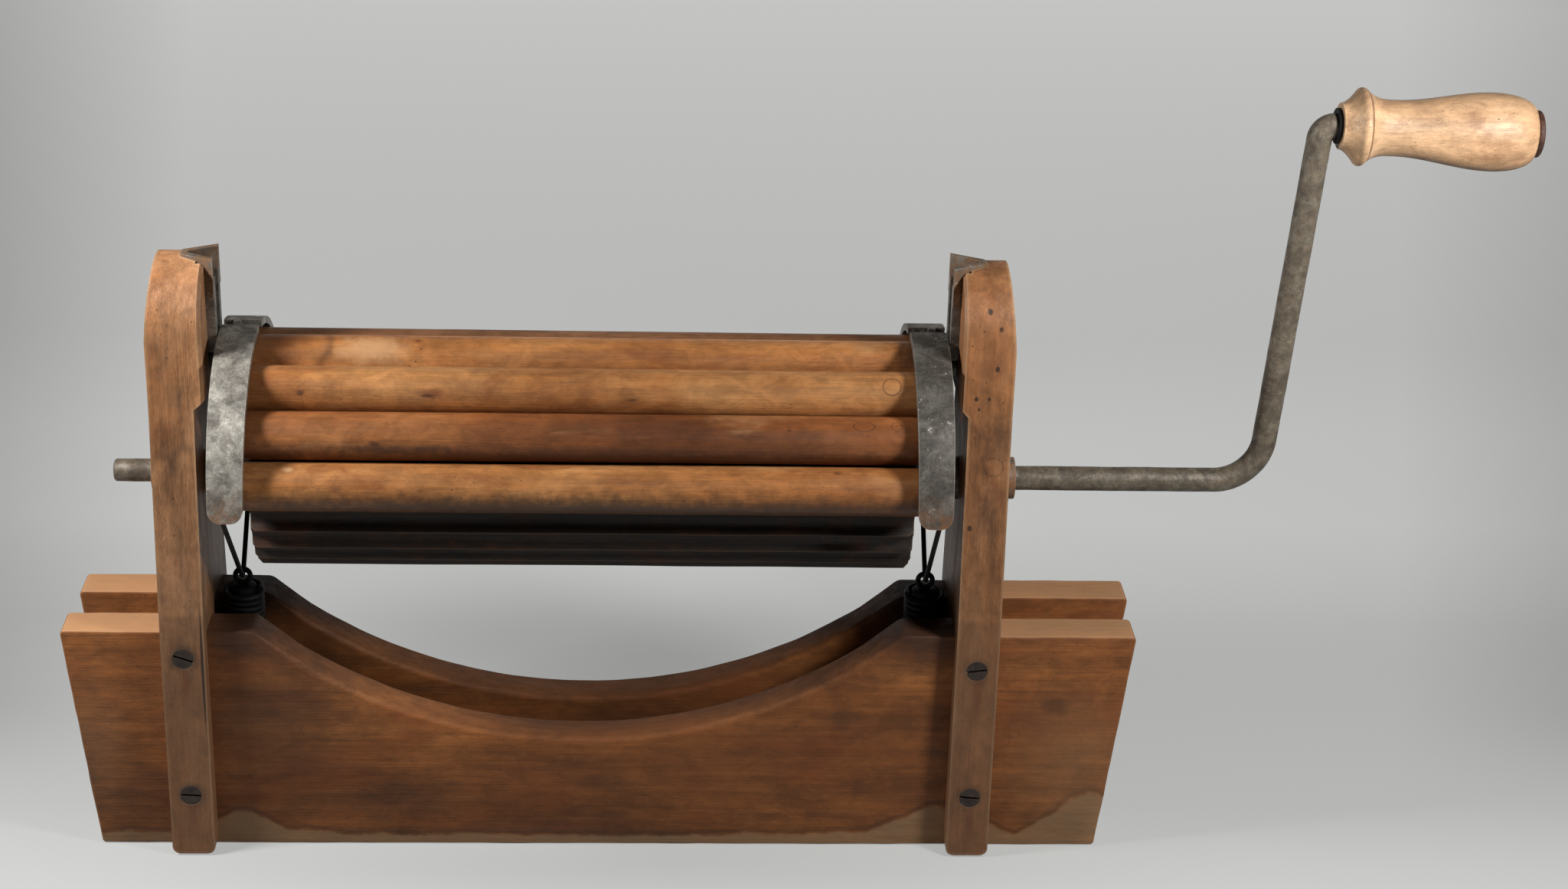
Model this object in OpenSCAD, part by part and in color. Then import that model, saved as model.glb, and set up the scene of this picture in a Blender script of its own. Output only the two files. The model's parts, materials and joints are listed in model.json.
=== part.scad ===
// Hand-cranked laundry wringer that stands in a tub on two long boards.
// A bent iron crank turns a fluted wooden roller between two uprights. A cage of loose wooden
// rods, hinged at its crown, arches over the roller, and two springs draw its ends down.
// X runs along the roller towards the crank, Y runs from front to back, and Z is up.

/* [Boards] */
// Length of each board along its top edge
board_top_len = 688; // [670:1:720]
// Length of each board along its bottom edge
board_bottom_len = 653.5; // [610:0.5:662]
// Height of each board
board_h = 156.5; // [145:0.5:170]
// Thickness of each board
board_t = 26.5; // [24:0.5:28]
// Free gap between the two boards
board_gap = 29; // [28:0.5:31]
// How far the front board sits towards the crank, off the middle of the uprights
board_shift = 12.5; // [0:0.5:20]
// How far the back board sits beyond the front one
back_board_slip = 2.5; // [0:0.5:4]
// Half width of the curved cut-out at the top of the boards
arch_half_w = 207; // [195:1:212]
// Depth of the curved cut-out
arch_depth = 76.5; // [60:0.5:85]
// How far the cut-out sits towards the crank, off the middle of the uprights
arch_shift = -2; // [-4:0.5:4]
// Rounding of the boards' corners
board_corner_r = 3; // [2:0.5:8]

/* [Uprights] */
// Width over the outer faces of the two uprights
frame_w = 532; // [520:1:540]
// Thickness of an upright below its shoulder
upright_t = 27.5; // [25:0.5:30]
// Extra thickness of an upright above its shoulder, on the inside
shoulder_t = 6; // [4:0.25:9]
// Half depth of an upright at the floor
foot_half_d = 56; // [54:0.5:60]
// Half depth of an upright at the top of the boards
waist_half_d = 51.5; // [50:0.5:53]
// Half depth of an upright at its rounded head
head_half_d = 38.5; // [34:0.5:42]
// Height of the round head's top above the axle
head_rise = 146; // [142:0.5:152]
// Height of the shoulder above the axle
shoulder_rise = 58; // [48:0.5:62]
// How far the outer face leans in at the head
head_lean = 4; // [0:0.5:6]
// Width of the chamfer round the inner edge of the left head
left_head_chamfer = 2; // [1:0.5:7]
// Width of the chamfer round the inner edge of the right head
right_head_chamfer = 1.5; // [1:0.5:4]
// Height of the legs' feet above the boards' bottom edge
foot_lift = 1.5; // [0:0.5:3]
// Rounding of the feet's corners
foot_r = 5; // [2:0.5:8]

/* [Roller and axle] */
// Height of the axle above the top of the boards
axle_rise = 93.5; // [90:0.5:98]
// Diameter of the axle and the crank's rod
rod_d = 16; // [14:0.5:17]
// Diameter over the roller's ridges
roller_d = 117; // [112:0.5:118]
// Number of flutes round the roller
flute_count = 24; // [20:1:26]
// Radius of the cutter that makes a flute
flute_r = 7.2; // [6.5:0.1:7.4]
// Depth of a flute
flute_depth = 5.6; // [4.5:0.1:6]
// Gap between the roller's end and the nearest end plate
roller_end_gap = 9.25; // [4:0.25:12]
// Chamfer round the roller's ends
roller_chamfer = 3; // [1:0.5:5]
// How far the roller and its cage sit towards the crank, off the middle of the uprights
cage_x = 0.75; // [0:0.25:3.5]
// Free length of the axle beyond the left bush
stub_len = 24.5; // [15:0.5:40]
// How much thinner the worn free end of the axle is, on the radius
stub_wear = 0.5; // [0.4:0.1:1]
// Thickness of the wall of a bush
bush_wall = 3; // [2:0.5:4]
// Diameter of a bush's flange
bush_flange_d = 38; // [34:0.5:42]
// Thickness of a bush's flange
bush_flange_t = 3; // [2:0.5:4]
// Diameter of the boss on a bush
bush_boss_d = 27; // [25:0.5:29]
// How far the left bush stands out of its upright
left_boss_out = 6; // [4.5:0.5:7]
// How far the right bush stands out of its upright
right_boss_out = 8.5; // [5:0.5:10]
// Width of a collar on the axle
collar_w = 8; // [5:0.5:9]
// Diameter of a collar on the axle
collar_d = 28; // [24:0.5:32]

/* [Crank] */
// Reach from the right upright's outer face to the corner of the crank
crank_reach = 166.5; // [140:0.5:200]
// Distance from the axle to the grip's axis at the crank's corner
crank_throw = 239; // [200:1:245]
// Lean of the arm away from the frame, in degrees
arm_lean = 4; // [0:0.5:8]
// Droop of the grip's spindle below the axle's direction, in degrees
grip_droop = 1.5; // [0:0.5:3]
// Radius of the lower bend, on the rod's centre line
low_bend_r = 31; // [20:1:40]
// Radius of the upper bend, on the rod's centre line, beyond half the rod
high_bend_extra = 1; // [0.5:0.1:6]
// How much the rod swells at its two bends, on the radius
bend_swell = 0.05; // [0.02:0.01:0.4]
// Diameter of the spindle inside the grip
spindle_d = 10; // [8:0.5:11]
// Diameter of the thin washer at the inner end of the grip
grip_washer_d = 22; // [18:0.5:26]
// Thickness of that washer
grip_washer_t = 2; // [1.5:0.5:3]
// Length of the wooden grip
grip_len = 120; // [110:1:130]
// Diameter of the grip's inner end
grip_collar_d = 28.6; // [26:0.2:32]
// Diameter of the grip's flange
grip_flange_d = 48.4; // [44:0.2:52]
// Distance of the flange from the grip's inner end
grip_flange_x = 12.6; // [10:0.2:16]
// Width of the flange's rim
grip_flange_w = 2.6; // [2:0.2:4]
// Diameter of the grip's neck
grip_neck_d = 34.8; // [30:0.2:38]
// Distance of the neck from the grip's inner end
grip_neck_x = 33; // [28:1:40]
// Diameter of the grip's belly
grip_belly_d = 48.4; // [44:0.2:52]
// Distance of the belly from the grip's inner end
grip_belly_x = 95; // [80:1:100]
// Diameter of the grip's outer end
grip_end_d = 29.8; // [28:0.2:34]
// Diameter of the iron cap at the outer end
grip_cap_d = 29; // [24:0.5:30]
// Thickness of that cap
grip_cap_t = 3.5; // [2:0.5:5]
// Height of the riveted end of the spindle
rivet_h = 1.2; // [0.8:0.1:2]
// How far that end is spread over the cap
rivet_lip = 1.5; // [0.5:0.1:3]

/* [Cage of rods] */
// Radius from the axle to the crown rod
crown_r = 77.5; // [77:0.5:80]
// Angle between neighbouring rods, in degrees
rod_pitch = 24.2; // [24:0.1:25.5]
// Rods in each jaw
jaw_rods = 3; // [2:1:3]
// Diameter of a cage rod
cage_rod_d = 30.2; // [28:0.1:30.6]
// Gap between the lowest rods and the roller's ridges
low_rod_gap = 0.3; // [0.2:0.1:1]
// Diameter of the crown pin
crown_pin_d = 12; // [10:0.5:13]
// Diameter of the iron gudgeons in the rods' ends
gudgeon_d = 8; // [6:0.5:9]
// Length of a gudgeon inside its rod
gudgeon_in = 28; // [20:1:40]
// How far a gudgeon stands out of its end plate
gudgeon_out = 0.8; // [0.2:0.1:1]
// Thickness of the straps that arch over the rods' ends
band_t = 4.5; // [3:0.5:6]
// Gap between a strap and the crown rod
band_gap = 1.4; // [1:0.1:2]
// Thickness of an end plate under a strap
plate_t = 4.5; // [3.5:0.5:5]
// Width of a front strap at the crown
front_band_w = 23; // [22:0.5:27]
// Width of a back strap at the crown
back_band_w = 23.5; // [22:0.5:28]
// Width of a strap at its lower end
band_foot_w = 21; // [18:0.5:22]
// How far a strap's outer edge draws in from its crown to its lower end
band_draw_in = 1; // [0:0.25:3]
// How far a front strap reaches back over the crown
front_band_over = 3.4; // [1:0.2:4]
// Where a back strap starts behind the crown
back_band_start = 13.5; // [12:0.5:16]
// How far a back end plate reaches past its strap, towards the crown
back_plate_over = 2.5; // [1:0.5:4]
// Angle of a strap's lower end above the axle's level, in degrees
band_foot_angle = 5.5; // [4:0.5:9]
// Radius of the eye round the crown pin
eye_r = 16; // [14:0.5:16]
// Inner radius of an end plate's sector
plate_in_r = 62; // [60:0.5:66]

/* [Crown guides] */
// Width of the slot that the crown pin slides in, beyond the pin
guide_play = 0.6; // [0.4:0.1:1]
// Thickness of the guide's side walls
guide_wall = 5.6; // [4:0.2:6]
// How far the guide's ridges stand out of the upright
guide_proud = 5.75; // [3:0.25:7]
// Depth of the guide's slot inside the upright
guide_deep = 3; // [2.5:0.5:4]
// Thickness of the guide's back
guide_back = 2; // [1.5:0.5:3]
// Height of the ridges' lower end above the crown pin
ridge_lift = 8.5; // [6:0.5:12]
// Length of the cup on top of the guide, along X
cup_len = 21; // [18:0.25:24]
// Half width of the cup at its open side
cup_half_w = 15; // [14:0.5:17]
// Half width of the cup's outer tip
cup_tip_half_w = 4; // [3:0.5:6]
// Height of the cup
cup_h = 25; // [20:0.5:30]
// Depth of the hollow in the cup
cup_hollow_h = 13; // [8:0.5:16]
// Wall of the cup beside its hollow, at the open side
cup_wall = 3.5; // [2:0.5:5]
// Wall of the cup beside its hollow, at the tip
cup_tip_wall = 2.5; // [1.5:0.5:3]
// Wall of the cup at its outer tip
cup_tip_end = 4; // [2:0.5:6]
// How far the cup stands above the wood
cup_proud = 1.5; // [1:0.5:4]

/* [Springs and wires] */
// Room between a spring and the boards
spring_room = 1.2; // [1:0.1:2]
// Thickness of the spring's wire
spring_wire = 3.5; // [2.5:0.1:3.5]
// Gap between the spring's turns
spring_turn_gap = 0.5; // [0.5:0.1:1]
// Turns in each spring
spring_turns = 24; // [18:1:25]
// Height of the springs' top above the boards
spring_top_out = 13; // [8:0.5:16]
// Height of the springs' lower anchor pin
anchor_z = 44; // [38:0.5:48]
// Diameter of the anchor pin
anchor_d = 8; // [6:0.5:9]
// Depth of the anchor pin in each board
anchor_in = 12; // [8:0.5:16]
// Distance of the springs outside the roller's end plates
spring_out = 1; // [0:0.25:2]
// Thickness of the eye on top of a spring
eye_wire = 3.4; // [2.6:0.2:3.6]
// Hole in that eye
eye_hole_d = 6; // [5.4:0.2:7]
// Thickness of the pull wires
pull_wire = 3.2; // [2.4:0.1:3.4]
// Thickness of the lug that takes a pull wire
lug_t = 5.5; // [4:0.5:6]
// Width of a lug
lug_w = 9; // [8:0.5:10]
// Height of a lug's hole above the strap's lower end
lug_rise = 2; // [1:0.5:3]
// Distance of a front lug from its strap's inner edge
front_lug_in = 9; // [8:0.5:12]
// Distance of a back lug inside its strap's outer edge
back_lug_in = 12; // [10:0.5:14]
// Gap between the ends of the front and back pull wires, in the spring's eye
wire_end_gap = 0.8; // [0.6:0.1:2]

/* [Fasteners] */
// Diameter of the wood screws' heads
screw_head_d = 14; // [12:0.5:15]
// Diameter of the wood screws' shanks
screw_d = 6; // [5:0.5:7]
// Length of the wood screws
screw_len = 33; // [28:1:36]
// Height of the lower screws
low_screw_z = 44.5; // [38:0.5:52]
// Drop of the left upper screws below the top of the boards
left_screw_drop = 14; // [12:0.5:24]
// Drop of the right upper screws below the top of the boards
right_screw_drop = 19.5; // [12:0.5:24]
// Diameter of the roller's drive pins
drive_pin_d = 6; // [5:0.5:7]
// Distance of a drive pin from the roller's end
drive_pin_in = 22; // [15:1:40]
// Diameter of the pins that hold the collars
collar_pin_d = 3.5; // [2.5:0.5:4]
// Width of the slot in a wood screw's head
screw_slot_w = 1.6; // [1.2:0.1:2]
// Depth of that slot
screw_slot_depth = 1.8; // [1:0.1:2.4]

/* [Clearances] */
// Radial running clearance of a shaft in its bore
run_clear = 0.05; // [0.02:0.01:0.09]
// Clearance round a fixed piece in its seat
seat_clear = 0.1; // [0.05:0.05:0.2]
// Side clearance between pieces that turn or slide past each other
side_clear = 0.5; // [0.3:0.1:0.8]
// Clearance between the straps and the guide's ridges
ridge_clear = 0.8; // [0.8:0.1:1.5]

/* [Hidden] */
$fn = 64;
tiny = 0.01;
big = 400;
// How far a cutter reaches past the face that it opens
past = 1;

// Rounding of an outline: each corner of the list is replaced by an arc of its own radius
function unit2(v) = v / norm(v);
function turn(a) = ((a + 540) % 360) - 180;
function corner_arc(p0, p1, p2, r, n) =
    let (a = unit2(p0 - p1), b = unit2(p2 - p1), half = acos(a * b) / 2,
         centre = p1 + unit2(a + b) * r / sin(half),
         s = p1 + a * r / tan(half) - centre, e = p1 + b * r / tan(half) - centre,
         a0 = atan2(s[1], s[0]), sweep = turn(atan2(e[1], e[0]) - a0))
    [for (i = [0 : n]) centre + r * [cos(a0 + sweep * i / n), sin(a0 + sweep * i / n)]];
function rounded(pts, radii, n = 6) =
    let (m = len(pts))
    [for (i = [0 : m - 1]) each (radii[i] == 0 ? [pts[i]] :
        corner_arc(pts[(i + m - 1) % m], pts[i], pts[(i + 1) % m], radii[i], n))];

// Heights
axle_z = board_h + axle_rise;
crown_z = axle_z + crown_r;
head_top_z = axle_z + head_rise;
shoulder_z = axle_z + shoulder_rise;
function high_screw_z(side) = board_h - (side < 0 ? left_screw_drop : right_screw_drop);

// Places along X, measured from the middle of the cage unless they belong to the uprights
upright_out = frame_w / 2;
upright_in = upright_out - upright_t;
guide_face = upright_in - shoulder_t;
ridge_face = guide_face - guide_proud;
band_out = ridge_face - ridge_clear;
plate_inset = 0.3;
front_plate_out = band_out - band_draw_in - plate_inset;
front_plate_in = front_plate_out - plate_t;
back_plate_out = front_plate_in - side_clear;
back_plate_in = back_plate_out - plate_t;
roller_half = back_plate_in - roller_end_gap;
front_rod_half = front_plate_in - side_clear;
back_rod_half = back_plate_in - side_clear;
crown_pin_half = guide_face + guide_deep - side_clear;
spring_x = back_plate_out + spring_out;

// Radii
rod_r = rod_d / 2;
roller_r = roller_d / 2;
cage_rod_r = cage_rod_d / 2;
crown_pin_r = crown_pin_d / 2;
gudgeon_r = gudgeon_d / 2;
spindle_r = spindle_d / 2;
bush_r = rod_r + run_clear + bush_wall;
band_in_r = crown_r + cage_rod_r + band_gap;
band_out_r = band_in_r + band_t;
low_rod_r = roller_r + low_rod_gap + cage_rod_r;

// Place of rod k of a jaw, counted from the crown, as [distance in front of the axle, height above it]
function rod_radius(k) = crown_r + (low_rod_r - crown_r) * k / jaw_rods;
function rod_place(k) = rod_radius(k) * [sin(k * rod_pitch), cos(k * rod_pitch)];

// The strap's lower end and the lug's hole, in the same plane
band_foot_z = axle_z + band_out_r * sin(band_foot_angle);
lug_y = band_in_r - pull_wire - side_clear;
lug_z = band_foot_z + lug_rise;
front_lug_x = band_out - front_band_w + front_lug_in;
back_lug_x = band_out - back_lug_in;
front_wire_x = front_lug_x + lug_t / 2 + side_clear + pull_wire;
back_wire_x = back_lug_x + lug_t / 2 + side_clear + pull_wire;

// Springs
spring_r = board_gap / 2 - spring_room - spring_wire / 2;
spring_pitch = spring_wire + spring_turn_gap;
spring_top_z = board_h + spring_top_out;
coil_end_z = spring_top_z - spring_wire / 2;
coil_start_z = coil_end_z - spring_turns * spring_pitch;
rings_per_turn = 8;
hook_clear = 0.4;
hook_r = anchor_d / 2 + hook_clear + spring_wire / 2;
eye_major = (eye_hole_d + eye_wire) / 2;
plug_r = spring_r * cos(180 / rings_per_turn) - spring_wire / 2 - side_clear;
plug_h = 12;
plug_out = 1;
plug_top_z = spring_top_z + plug_out;
eye_sink = 0.8;
spring_eye_z = plug_top_z + eye_major + eye_wire / 2 - eye_sink;
wire_z = spring_eye_z + eye_hole_d / 2 - pull_wire / 2 - seat_clear;

// Crank: corners of its centre line in the XZ plane, heights measured from the axle
low_corner_x = upright_out + crank_reach;
high_corner_x = low_corner_x + crank_throw * tan(arm_lean);
low_turn = 90 - arm_lean;
high_turn = low_turn + grip_droop;
high_bend_r = rod_r + high_bend_extra;
low_set = low_bend_r * tan(low_turn / 2);
high_set = high_bend_r * tan(high_turn / 2);
arm_len = crank_throw / cos(arm_lean) - low_set - high_set;
spindle_x = high_corner_x + high_set * cos(grip_droop);
spindle_z = axle_z + crank_throw - high_set * sin(grip_droop);
grip_start = grip_washer_t + side_clear;
cap_start = grip_start + grip_len + side_clear;
spindle_len = cap_start + grip_cap_t;
rivet_r = spindle_r + rivet_lip;
crank_end_x = spindle_x + (spindle_len + rivet_h) * cos(grip_droop) + rivet_r * sin(grip_droop);
stub_start_x = -upright_out - left_boss_out;

// The origin is the middle of the whole part, seen from above, at the boards' bottom edge
frame_x = (crank_end_x + board_shift - board_top_len / 2) / 2;

module placed(paint) color(paint) translate([-frame_x, 0, 0]) children();
module frame_side(side) mirror([side < 0 ? 1 : 0, 0, 0]) children();
module cage_side(side) translate([cage_x, 0, 0]) mirror([side < 0 ? 1 : 0, 0, 0]) children();
module facing(jaw) mirror([0, jaw > 0 ? 1 : 0, 0]) children();
// A solid bar along X from x0 to x1
module bar_x(r, x0, x1) translate([x0, 0, 0]) rotate([0, 90, 0]) cylinder(r = r, h = x1 - x0);
// An outline drawn in Y and Z, raised along X from x0 to x1
module raise_x(x0, x1) translate([x0, 0, 0]) rotate([90, 0, 90]) linear_extrude(x1 - x0) children();
// An outline drawn in X and Z, raised along Y from y0 to y1
module raise_y(y0, y1) translate([0, y1, 0]) rotate([90, 0, 0]) linear_extrude(y1 - y0) children();
// A round bar between two points
module bar_between(a, b, r) {
    d = b - a;
    translate(a) rotate([0, acos(d[2] / norm(d)), atan2(d[1], d[0])]) cylinder(r = r, h = norm(d));
}

// Boards
arch_r = (arch_half_w * arch_half_w + arch_depth * arch_depth) / (2 * arch_depth);
module board(jaw, slip) {
    shift = board_shift + slip;
    y0 = jaw > 0 ? board_gap / 2 : -board_gap / 2 - board_t;
    difference() {
        raise_y(y0, y0 + board_t)
            polygon(rounded([
                [shift - board_bottom_len / 2, 0], [shift + board_bottom_len / 2, 0],
                [shift + board_top_len / 2, board_h], [shift - board_top_len / 2, board_h]],
                [board_corner_r, board_corner_r, board_corner_r, board_corner_r]));
        translate([arch_shift + slip, 0, board_h - arch_depth + arch_r]) rotate([90, 0, 0])
            cylinder(r = arch_r, h = big, center = true, $fn = 180);
        for (side = [-1, 1]) {
            for (z = [low_screw_z, high_screw_z(side)]) screw_place(side, jaw, z) screw_hole();
            cage_side(side) anchor_bar(seat_clear);
        }
    }
}
module front_board() placed("#8a5c38") board(-1, 0);
module back_board() placed("#7d5232") board(1, back_board_slip);

// Uprights: half depth at a height, and the outline of a leg seen from the side, run on into the head
head_arc_z = head_top_z - head_half_d;
function leg_half_d(z) =
    z < board_h ? foot_half_d + (waist_half_d - foot_half_d) * z / board_h :
    z < shoulder_z ? waist_half_d + (head_half_d - waist_half_d) * (z - board_h) / (shoulder_z - board_h) :
    head_half_d;
leg_top_half_d = head_half_d - (waist_half_d - head_half_d) * past / (shoulder_z - board_h);
module leg_outline()
    polygon([[-leg_half_d(-past), -past], [leg_half_d(-past), -past], [waist_half_d, board_h],
        [leg_top_half_d, shoulder_z + past], [-leg_top_half_d, shoulder_z + past], [-waist_half_d, board_h]]);
// The thicker head, chamfered round its inner edge
module head(face, head_chamfer) {
    translate([0, 0, head_arc_z]) rotate([0, 90, 0]) rotate_extrude()
        polygon([[0, face], [head_half_d - head_chamfer, face], [head_half_d, face + head_chamfer],
                 [head_half_d, upright_out + past], [0, upright_out + past]]);
    translate([0, 0, shoulder_z - past]) linear_extrude(head_arc_z - shoulder_z + past)
        polygon([[face, -head_half_d + head_chamfer], [face + head_chamfer, -head_half_d],
                 [upright_out + past, -head_half_d], [upright_out + past, head_half_d],
                 [face + head_chamfer, head_half_d], [face, head_half_d - head_chamfer]]);
}
// The upright seen from the front: round foot, shoulder that slopes out to the head, and the head's lean
module upright_front(face) {
    slope = shoulder_t / (upright_in - face);
    polygon(rounded([[upright_in, foot_lift], [upright_out, foot_lift],
        [upright_out, axle_z + (head_rise + shoulder_rise) / 2], [upright_out - head_lean, head_top_z + past],
        [face - past, head_top_z + past], [face - past, shoulder_z + (upright_in - face + past) * slope],
        [upright_in, shoulder_z]],
        [foot_r, foot_r, 0, 0, 0, 0, 0]));
}
module upright(side) {
    face = guide_face + side * cage_x;
    difference() {
        intersection() {
            union() {
                raise_x(upright_in - past, upright_out + past) leg_outline();
                head(face, side < 0 ? left_head_chamfer : right_head_chamfer);
            }
            raise_y(-big, big) upright_front(face);
        }
        for (jaw = [-1, 1])
            translate([-big / 2, jaw * (board_gap + board_t) / 2 - board_t / 2 - seat_clear, -big])
                cube([big * 2, board_t + 2 * seat_clear, big + board_h]);
        translate([0, 0, axle_z]) bar_x(bush_r + seat_clear, 0, big);
        translate([side * cage_x, 0, 0]) guide_pocket();
        for (z = [low_screw_z, high_screw_z(side)], jaw = [-1, 1]) facing(jaw) leg_screw_hole(z);
        translate([side * cage_x, 0, 0]) guide_screw_marks()
            cylinder(r = small_shank_r + seat_clear, h = small_len + seat_clear);
        bush_nail_places() cylinder(r = nail_r + seat_clear, h = nail_in + seat_clear);
    }
}
module left_upright() placed("#a5713f") frame_side(-1) upright(-1);
module right_upright() placed("#a5713f") frame_side(1) upright(1);

// Wood screws that hold the legs to the boards
screw_cone = (screw_head_d - screw_d) / 2;
screw_x = upright_in + upright_t / 2;
screw_slot_turn = 12;
seat_over_head = 5;
leg_hole_depth = 60;
module wood_screw() {
    difference() {
        union() {
            cylinder(d1 = screw_head_d, d2 = screw_d, h = screw_cone);
            cylinder(d = screw_d, h = screw_len);
        }
        rotate([0, 0, screw_slot_turn]) translate([-screw_head_d, -screw_slot_w / 2, -past])
            cube([2 * screw_head_d, screw_slot_w, screw_slot_depth + past]);
    }
}
module screw_hole()
    translate([0, 0, -seat_clear]) cylinder(d = screw_d + 2 * run_clear, h = screw_len + 2 * seat_clear);
module screw_place(side, jaw, z)
    translate([side * screw_x, jaw * leg_half_d(z), z]) rotate([jaw * 90, 0, 0]) children();
// Room for a countersunk screw that points along +Z, from above its head down to its depth
module screw_seat(head_r, shank_r, cone, over, depth)
    rotate_extrude() polygon([[0, -over], [head_r, -over], [head_r, 0], [shank_r, cone], [shank_r, depth],
        [0, depth]]);
module leg_screw_hole(z)
    translate([screw_x, -leg_half_d(z), z]) rotate([-90, 0, 0])
        screw_seat(screw_head_d / 2 + run_clear, screw_d / 2 + run_clear, screw_cone,
            seat_over_head, leg_hole_depth);
module upright_screws() placed("#3a2f2b")
    for (side = [-1, 1], jaw = [-1, 1], z = [low_screw_z, high_screw_z(side)])
        screw_place(side, jaw, z) wood_screw();

// Crown guides: a slotted channel let into the upright, with a cup on top
slot_half = crown_pin_r + guide_play / 2;
guide_half = slot_half + guide_wall;
ridge_foot_z = crown_z + ridge_lift;
cup_top_z = head_top_z + cup_proud;
cup_foot_z = cup_top_z - cup_h;
guide_back_x = guide_face + guide_deep + guide_back;
cup_tip_x = ridge_face + cup_len;
cup_tip_r = 3;
// Long upright slot outline in Y and Z with a round lower end
module slot_outline(half, top_z) {
    translate([0, crown_z]) circle(r = half);
    translate([-half, crown_z]) square([2 * half, top_z - crown_z]);
}
module cup_outline(grow)
    polygon(rounded([[ridge_face - grow, -cup_half_w - grow], [cup_tip_x + grow, -cup_tip_half_w - grow],
        [cup_tip_x + grow, cup_tip_half_w + grow], [ridge_face - grow, cup_half_w + grow]],
        [0, cup_tip_r, cup_tip_r, 0]));
module guide() {
    difference() {
        union() {
            raise_x(guide_face, guide_back_x) slot_outline(guide_half, cup_foot_z + past);
            raise_x(ridge_face, guide_back_x) difference() {
                slot_outline(guide_half, cup_foot_z + past);
                translate([-2 * guide_half, -big]) square([4 * guide_half, big + ridge_foot_z]);
            }
            translate([0, 0, cup_foot_z]) linear_extrude(cup_h) cup_outline(0);
        }
        raise_x(0, guide_face + guide_deep) slot_outline(slot_half, big * 2);
        translate([0, 0, cup_top_z - cup_hollow_h]) linear_extrude(cup_h)
            polygon([[ridge_face - past, -cup_half_w + cup_wall],
                     [cup_tip_x - cup_tip_end, -cup_tip_half_w + cup_tip_wall],
                     [cup_tip_x - cup_tip_end, cup_tip_half_w - cup_tip_wall],
                     [ridge_face - past, cup_half_w - cup_wall]]);
        guide_screw_marks()
            screw_seat(small_head_r + seat_clear, small_shank_r + seat_clear, small_cone, tiny, small_len);
    }
}
module guide_pocket() {
    raise_x(0, guide_back_x + seat_clear) slot_outline(guide_half + seat_clear, big * 2);
    translate([0, 0, cup_foot_z - seat_clear]) linear_extrude(big) cup_outline(seat_clear);
}
module left_guide() placed("#4b4a47") cage_side(-1) guide();
module right_guide() placed("#4b4a47") cage_side(1) guide();

// Small screws through the back of each guide, inside its slot
small_head_r = 3.2;
small_shank_r = 1.5;
small_cone = small_head_r - small_shank_r;
small_len = 14;
guide_screw_rises = [16, 34];
module guide_screw_marks()
    for (rise = guide_screw_rises)
        translate([guide_face + guide_deep, 0, crown_z + rise]) rotate([0, 90, 0]) children();
module guide_screws() placed("#3f3a36") for (side = [-1, 1]) cage_side(side) guide_screw_marks() {
    cylinder(r1 = small_head_r, r2 = small_shank_r, h = small_cone);
    cylinder(r = small_shank_r, h = small_len);
}

// Bushes that carry the axle in the uprights
module bush(boss_out) translate([0, 0, axle_z]) difference() {
    union() {
        bar_x(bush_r, upright_in, upright_out);
        bar_x(bush_flange_d / 2, upright_out, upright_out + bush_flange_t);
        bar_x(bush_boss_d / 2, upright_out, upright_out + boss_out);
    }
    bar_x(rod_r + run_clear, 0, big);
    translate([0, 0, -axle_z]) bush_nail_places() cylinder(r = nail_r + seat_clear, h = big, center = true);
}
module left_bush() placed("#55534f") frame_side(-1) bush(left_boss_out);
module right_bush() placed("#55534f") frame_side(1) bush(right_boss_out);
nail_r = 1;
nail_in = 9;
nail_head_t = 1;
bush_nail_ring = (bush_flange_d + bush_boss_d) / 4;
module bush_nail_places()
    for (a = [90, 210, 330])
        translate([upright_out, bush_nail_ring * cos(a), axle_z + bush_nail_ring * sin(a)])
            rotate([0, -90, 0]) children();
module bush_nails() placed("#3f3a36") for (side = [-1, 1]) frame_side(side) bush_nail_places() {
    translate([0, 0, -bush_flange_t]) cylinder(r = nail_r, h = bush_flange_t + nail_in);
    translate([0, 0, -bush_flange_t - nail_head_t]) cylinder(r = 2 * nail_r, h = nail_head_t);
}

// Collars pinned to the axle just inside the uprights
collar_out = upright_in - side_clear;
collar_pin_x = collar_out - collar_w / 2;
collar_pin_len = collar_d - 1;
module axle_collars() placed("#4f4c48") for (side = [-1, 1]) frame_side(side)
    difference() {
        translate([0, 0, axle_z]) bar_x(collar_d / 2, collar_out - collar_w, collar_out);
        translate([0, 0, axle_z]) bar_x(rod_r + run_clear, 0, big);
        collar_pin(run_clear);
    }
module collar_pin(grow) translate([collar_pin_x, 0, axle_z])
    cylinder(r = collar_pin_d / 2 + grow, h = collar_pin_len + 4 * grow, center = true);
module collar_pins() placed("#3f3a36") for (side = [-1, 1]) frame_side(side) collar_pin(0);

// Crank: axle, lower bend, arm, upper bend and the grip's spindle, in one bent rod
// The straight stretches reach a little way into the bends, which are a hair thicker
bend_bite = 0.3;
module bend(radius, angle)
    rotate_extrude(angle = angle) translate([radius, 0]) circle(r = rod_r + bend_swell, $fn = 48);
module crank_rod() translate([0, 0, axle_z]) rotate([90, 0, 0]) {
    translate([low_corner_x - low_set, low_bend_r, 0]) rotate([0, 0, -90]) bend(low_bend_r, low_turn);
    translate([low_corner_x, 0, 0]) rotate([0, 0, low_turn]) {
        translate([low_set, 0, 0]) bar_x(rod_r, -bend_bite, arm_len + bend_bite);
        translate([low_set + arm_len, -high_bend_r, 0]) rotate([0, 0, 90 - high_turn])
            bend(high_bend_r, high_turn);
    }
}
module on_spindle() translate([spindle_x, 0, spindle_z]) rotate([0, grip_droop, 0]) children();
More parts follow.
